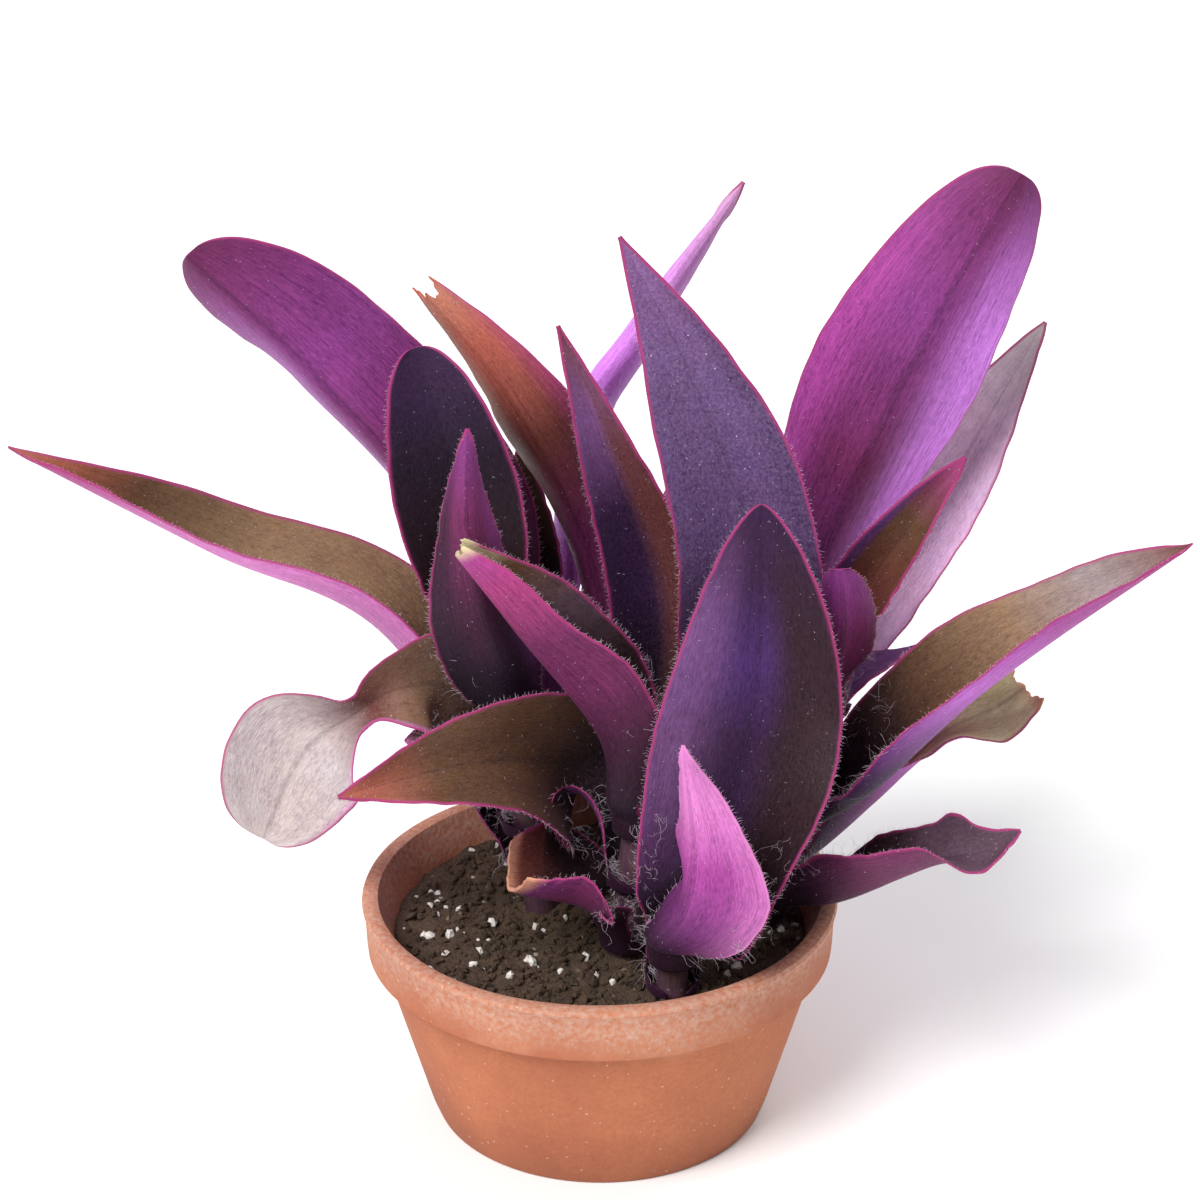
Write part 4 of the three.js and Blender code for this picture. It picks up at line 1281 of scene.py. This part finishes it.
def make_leaf(name, leaf):
    look, plan = LOOKS[name], leaf_plan(leaf)
    t, s = leaf_grid(leaf)
    rows, columns = t.shape
    t, s = t.ravel(), s.ravel()

    def grid(*values):
        return np.stack(values, -1).reshape(rows, columns, -1)

    point, normal, tangent, half = fine_surface(plan, t, s)
    inward = (1 - np.abs(s)) * half
    from_tip = (leaf.get("torn", 1) - t) * plan["length"]
    thick = MIDRIB_THICKNESS + (EDGE_THICKNESS - MIDRIB_THICKNESS) * np.abs(s)
    thick = thick * (1 - EDGE_THINNING * smooth(0.9, 1, np.abs(s)))
    thick = (thick * np.minimum(TIP_THICKNESS + half / TIP_FLAT, 1))[:, None]
    facts = (look, t, s, inward, from_tip)
    upper = side_tint(look["upper"], look.get("flanks", ()), *facts)
    under = side_tint(look["under"], look.get("under_flanks", ()), *facts)
    bloom = look.get("bloom", BLOOM) * smooth(-0.3, 0.4, t)
    margin = smooth(*MARGIN_WIDTHS, inward)
    edge = grid(tangent)[:, [-1, 0]] * np.array([1, -1])[:, None] * RIM + grid(point)[:, [-1, 0]]
    place = np.concatenate([grid(point + normal * thick / 2), edge[:, :1],
                            grid(point - normal * thick / 2)[:, ::-1], edge[:, 1:]], 1)
    over = grid(margin, np.ones_like(t), bloom)
    below = grid(margin, np.zeros_like(t), bloom * UNDER_BLOOM)
    spot = grid(s / 2 + 0.5, t * plan["length"] / leaf["width"])
    ring = place.shape[1]
    faces = rings_to_faces(rows, ring)
    faces += end_cap(0, columns, ring) + [f[::-1] for f in end_cap((rows - 1) * ring, columns, ring)]
    piece = add_piece(f"leaf_{name}_fine", place.reshape(-1, 3), faces, leaf_material, "leaf",
                      f"leaf_{name}")
    store(piece, "tint", both_sides(grid(upper), grid(under)))
    store(piece, "zones", both_sides(over, below))
    store_map(piece, "leaf_map", both_sides(spot, spot).reshape(-1, 2))
    return plan, look


def end_cap(first, columns, ring):
    over = [first + k for k in range(columns)]
    below = [first + 2 * columns - k for k in range(columns)]
    faces = [[over[k], below[k], below[k + 1], over[k + 1]] for k in range(columns - 1)]
    faces.append([over[-1], below[-1], first + columns])
    faces.append([over[0], first + ring - 1, below[0]])
    return faces


made_leaves = {name: make_leaf(name, leaf) for name, leaf in LEAVES.items()}
print("leaves made:", len(made_leaves))

# %% [markdown]
# ## Hairs
# Purple heart is finely hairy. Short hairs line the margins, longer tangled ones grow near the sheaths,
# and a thin scatter covers both sides. Real hairs are far too many, so each modelled hair is a slim closed
# needle that is a little thicker than life, drawn from a seeded draw.

# %% Needles
HAIR_SIDES = 3
HAIR_RADIUS = 0.035
HAIR_TAPER = 0.5
HAIR_CURL = 0.2


def needles(roots, ways, lengths, rings):
    count = len(roots)
    ways = unit(ways)
    aside = unit(np.cross(ways, unit(draw.normal(size=(count, 3)))))
    other = np.cross(ways, aside)
    bow = draw.normal(size=(2, count, 1)) * HAIR_CURL * lengths[:, None]
    turn = turned(HAIR_SIDES)
    around = np.cos(turn)[:, None, None] * aside + np.sin(turn)[:, None, None] * other
    parts = []
    for u in np.arange(rings + 1) / rings:
        centre = roots + ways * lengths[:, None] * u + aside * bow[0] * math.sin(math.pi * u)
        centre += other * bow[1] * math.sin(FULL_TURN * u)
        thickness = HAIR_RADIUS * (1 - HAIR_TAPER * u)
        parts += [centre] if u == 1 else [centre + way * thickness for way in around]
    points = np.stack(parts, 1)
    tip = HAIR_SIDES * rings
    pattern = [(2, 1, 0)]
    for ring in range(rings):
        for k in range(HAIR_SIDES):
            a, b = ring * HAIR_SIDES + k, ring * HAIR_SIDES + (k + 1) % HAIR_SIDES
            if ring == rings - 1:
                pattern.append((a, b, tip))
            else:
                pattern += [(a, b, b + HAIR_SIDES), (a, b + HAIR_SIDES, a + HAIR_SIDES)]
    faces = np.array(pattern) + points.shape[1] * np.arange(count)[:, None, None]
    return points.reshape(-1, 3), faces.reshape(-1, 3)


print("sides of a hair:", HAIR_SIDES)

# %% Where the hairs of a leaf grow
SHORT_RINGS = 2
LONG_RINGS = 5
MARGIN_STEP = 0.4
MARGIN_DEPTH = 0.1
MARGIN_SPREAD = 0.5
MARGIN_FORWARD = (0.2, 0.45)
MARGIN_LENGTHS = (0.4, 1.4)
SCATTER = 0.07
SCATTER_DEPTH = 0.33
SCATTER_SPREADS = (0.7, 0.5)
SCATTER_LENGTHS = (0.35, 0.9)
UPPER_SHARE = 0.65
BASE_HAIRS = 170
BASE_PLACE = (-0.3, 0.35)
BASE_DEPTH = 0.25
BASE_LIFT = (0.5, 0.6)
BASE_SPREADS = (0.8, 0.5)
BASE_LENGTHS = (2, 6.5)


def margin_hairs(plan, end):
    count = int(plan["length"] * end / MARGIN_STEP)
    t = np.tile((np.arange(count) + draw.random(count)) / count * end, 2)
    s = np.repeat([-1.0, 1.0], count)
    point, normal, tangent, _ = fine_surface(plan, t, s)
    out = tangent * s[:, None]
    ways = out + normal * draw.normal(0, MARGIN_SPREAD, (len(t), 1))
    ways += unit(np.gradient(point, axis=0)) * draw.normal(*MARGIN_FORWARD, (len(t), 1))
    lengths = draw.uniform(*MARGIN_LENGTHS, len(t)) * (1.5 - 0.7 * t)
    return needles(point + out * MARGIN_DEPTH, ways, lengths, SHORT_RINGS)


def scattered_hairs(plan, end, share):
    count = int(plan["length"] * plan["leaf"]["width"] * SCATTER * share)
    t, s = draw.uniform(0.05, end - 0.02, count), draw.uniform(-0.94, 0.94, count)
    point, normal, tangent, _ = fine_surface(plan, t, s)
    face = np.where(draw.random((count, 1)) < UPPER_SHARE, 1.0, -1.0)
    aside, all_round = SCATTER_SPREADS
    ways = normal * face + tangent * draw.normal(0, aside, (count, 1))
    ways = ways + draw.normal(0, all_round, (count, 3))
    roots = point + normal * face * SCATTER_DEPTH
    return needles(roots, ways, draw.uniform(*SCATTER_LENGTHS, count), SHORT_RINGS)


def base_hairs(plan):
    t = draw.uniform(*BASE_PLACE, BASE_HAIRS)
    s = draw.choice([-1.0, 1.0], BASE_HAIRS) * draw.uniform(0.6, 1, BASE_HAIRS)
    point, normal, tangent, _ = fine_surface(plan, t, s)
    outward, all_round = BASE_SPREADS
    ways = normal * draw.normal(*BASE_LIFT, (BASE_HAIRS, 1)) + tangent * s[:, None] * outward
    ways += draw.normal(0, all_round, (BASE_HAIRS, 3))
    lengths = draw.uniform(*BASE_LENGTHS, BASE_HAIRS)
    return needles(point + normal * BASE_DEPTH, ways, lengths, LONG_RINGS)


print("hairs at the base of a leaf:", BASE_HAIRS)

# %% Grow the hairs of every leaf
TIP_GAP = 0.01
LEAST_SCATTER = 0.6
MARGIN_HAIR = "#efd3e4"
SCATTER_HAIR = "#ddd3d6"
BASE_HAIR = "#c9b3c2"


def grow_hairs(name, plan, look):
    end = plan["leaf"].get("torn", 1) - TIP_GAP
    share = LEAST_SCATTER + look.get("bloom", BLOOM)
    groups = [margin_hairs(plan, end), scattered_hairs(plan, end, share), base_hairs(plan)]
    edge = (linear(PALETTE[look.get("margin", MARGIN_COLOUR)]) + 2 * linear(MARGIN_HAIR)) / 3
    sizes = [len(points) for points, _ in groups]
    firsts = np.cumsum([0] + sizes[:-1])
    points = np.concatenate([points for points, _ in groups])
    faces = np.concatenate([faces + first for (_, faces), first in zip(groups, firsts)])
    piece = add_piece(f"hairs_{name}", points, faces.tolist(), hair_material, "leaf")
    store(piece, "tint", np.repeat([edge, linear(SCATTER_HAIR), linear(BASE_HAIR)], sizes, axis=0))
    return len(faces)


total = sum(grow_hairs(name, *made) for name, made in made_leaves.items())
print("hair triangles:", total)

# %% [markdown]
# ## The floor
# The pot stands on a plain pale floor, which is only there to catch its shadow. It is tied to no body, so
# it isn't part of the object.

# %% Floor
FLOOR_HALF = 12.0


def make_floor():
    mesh = bpy.data.meshes.new("pale_floor")
    corners = [(-1, -1, 0), (1, -1, 0), (1, 1, 0), (-1, 1, 0)]
    mesh.from_pydata([(x * FLOOR_HALF, y * FLOOR_HALF, z) for x, y, z in corners], [], [(0, 1, 2, 3)])
    mesh.materials.append(floor_material)
    floor = bpy.data.objects.new("pale_floor", mesh)
    bpy.context.collection.objects.link(floor)


make_floor()
print("floor:", 2 * FLOOR_HALF, "m wide")
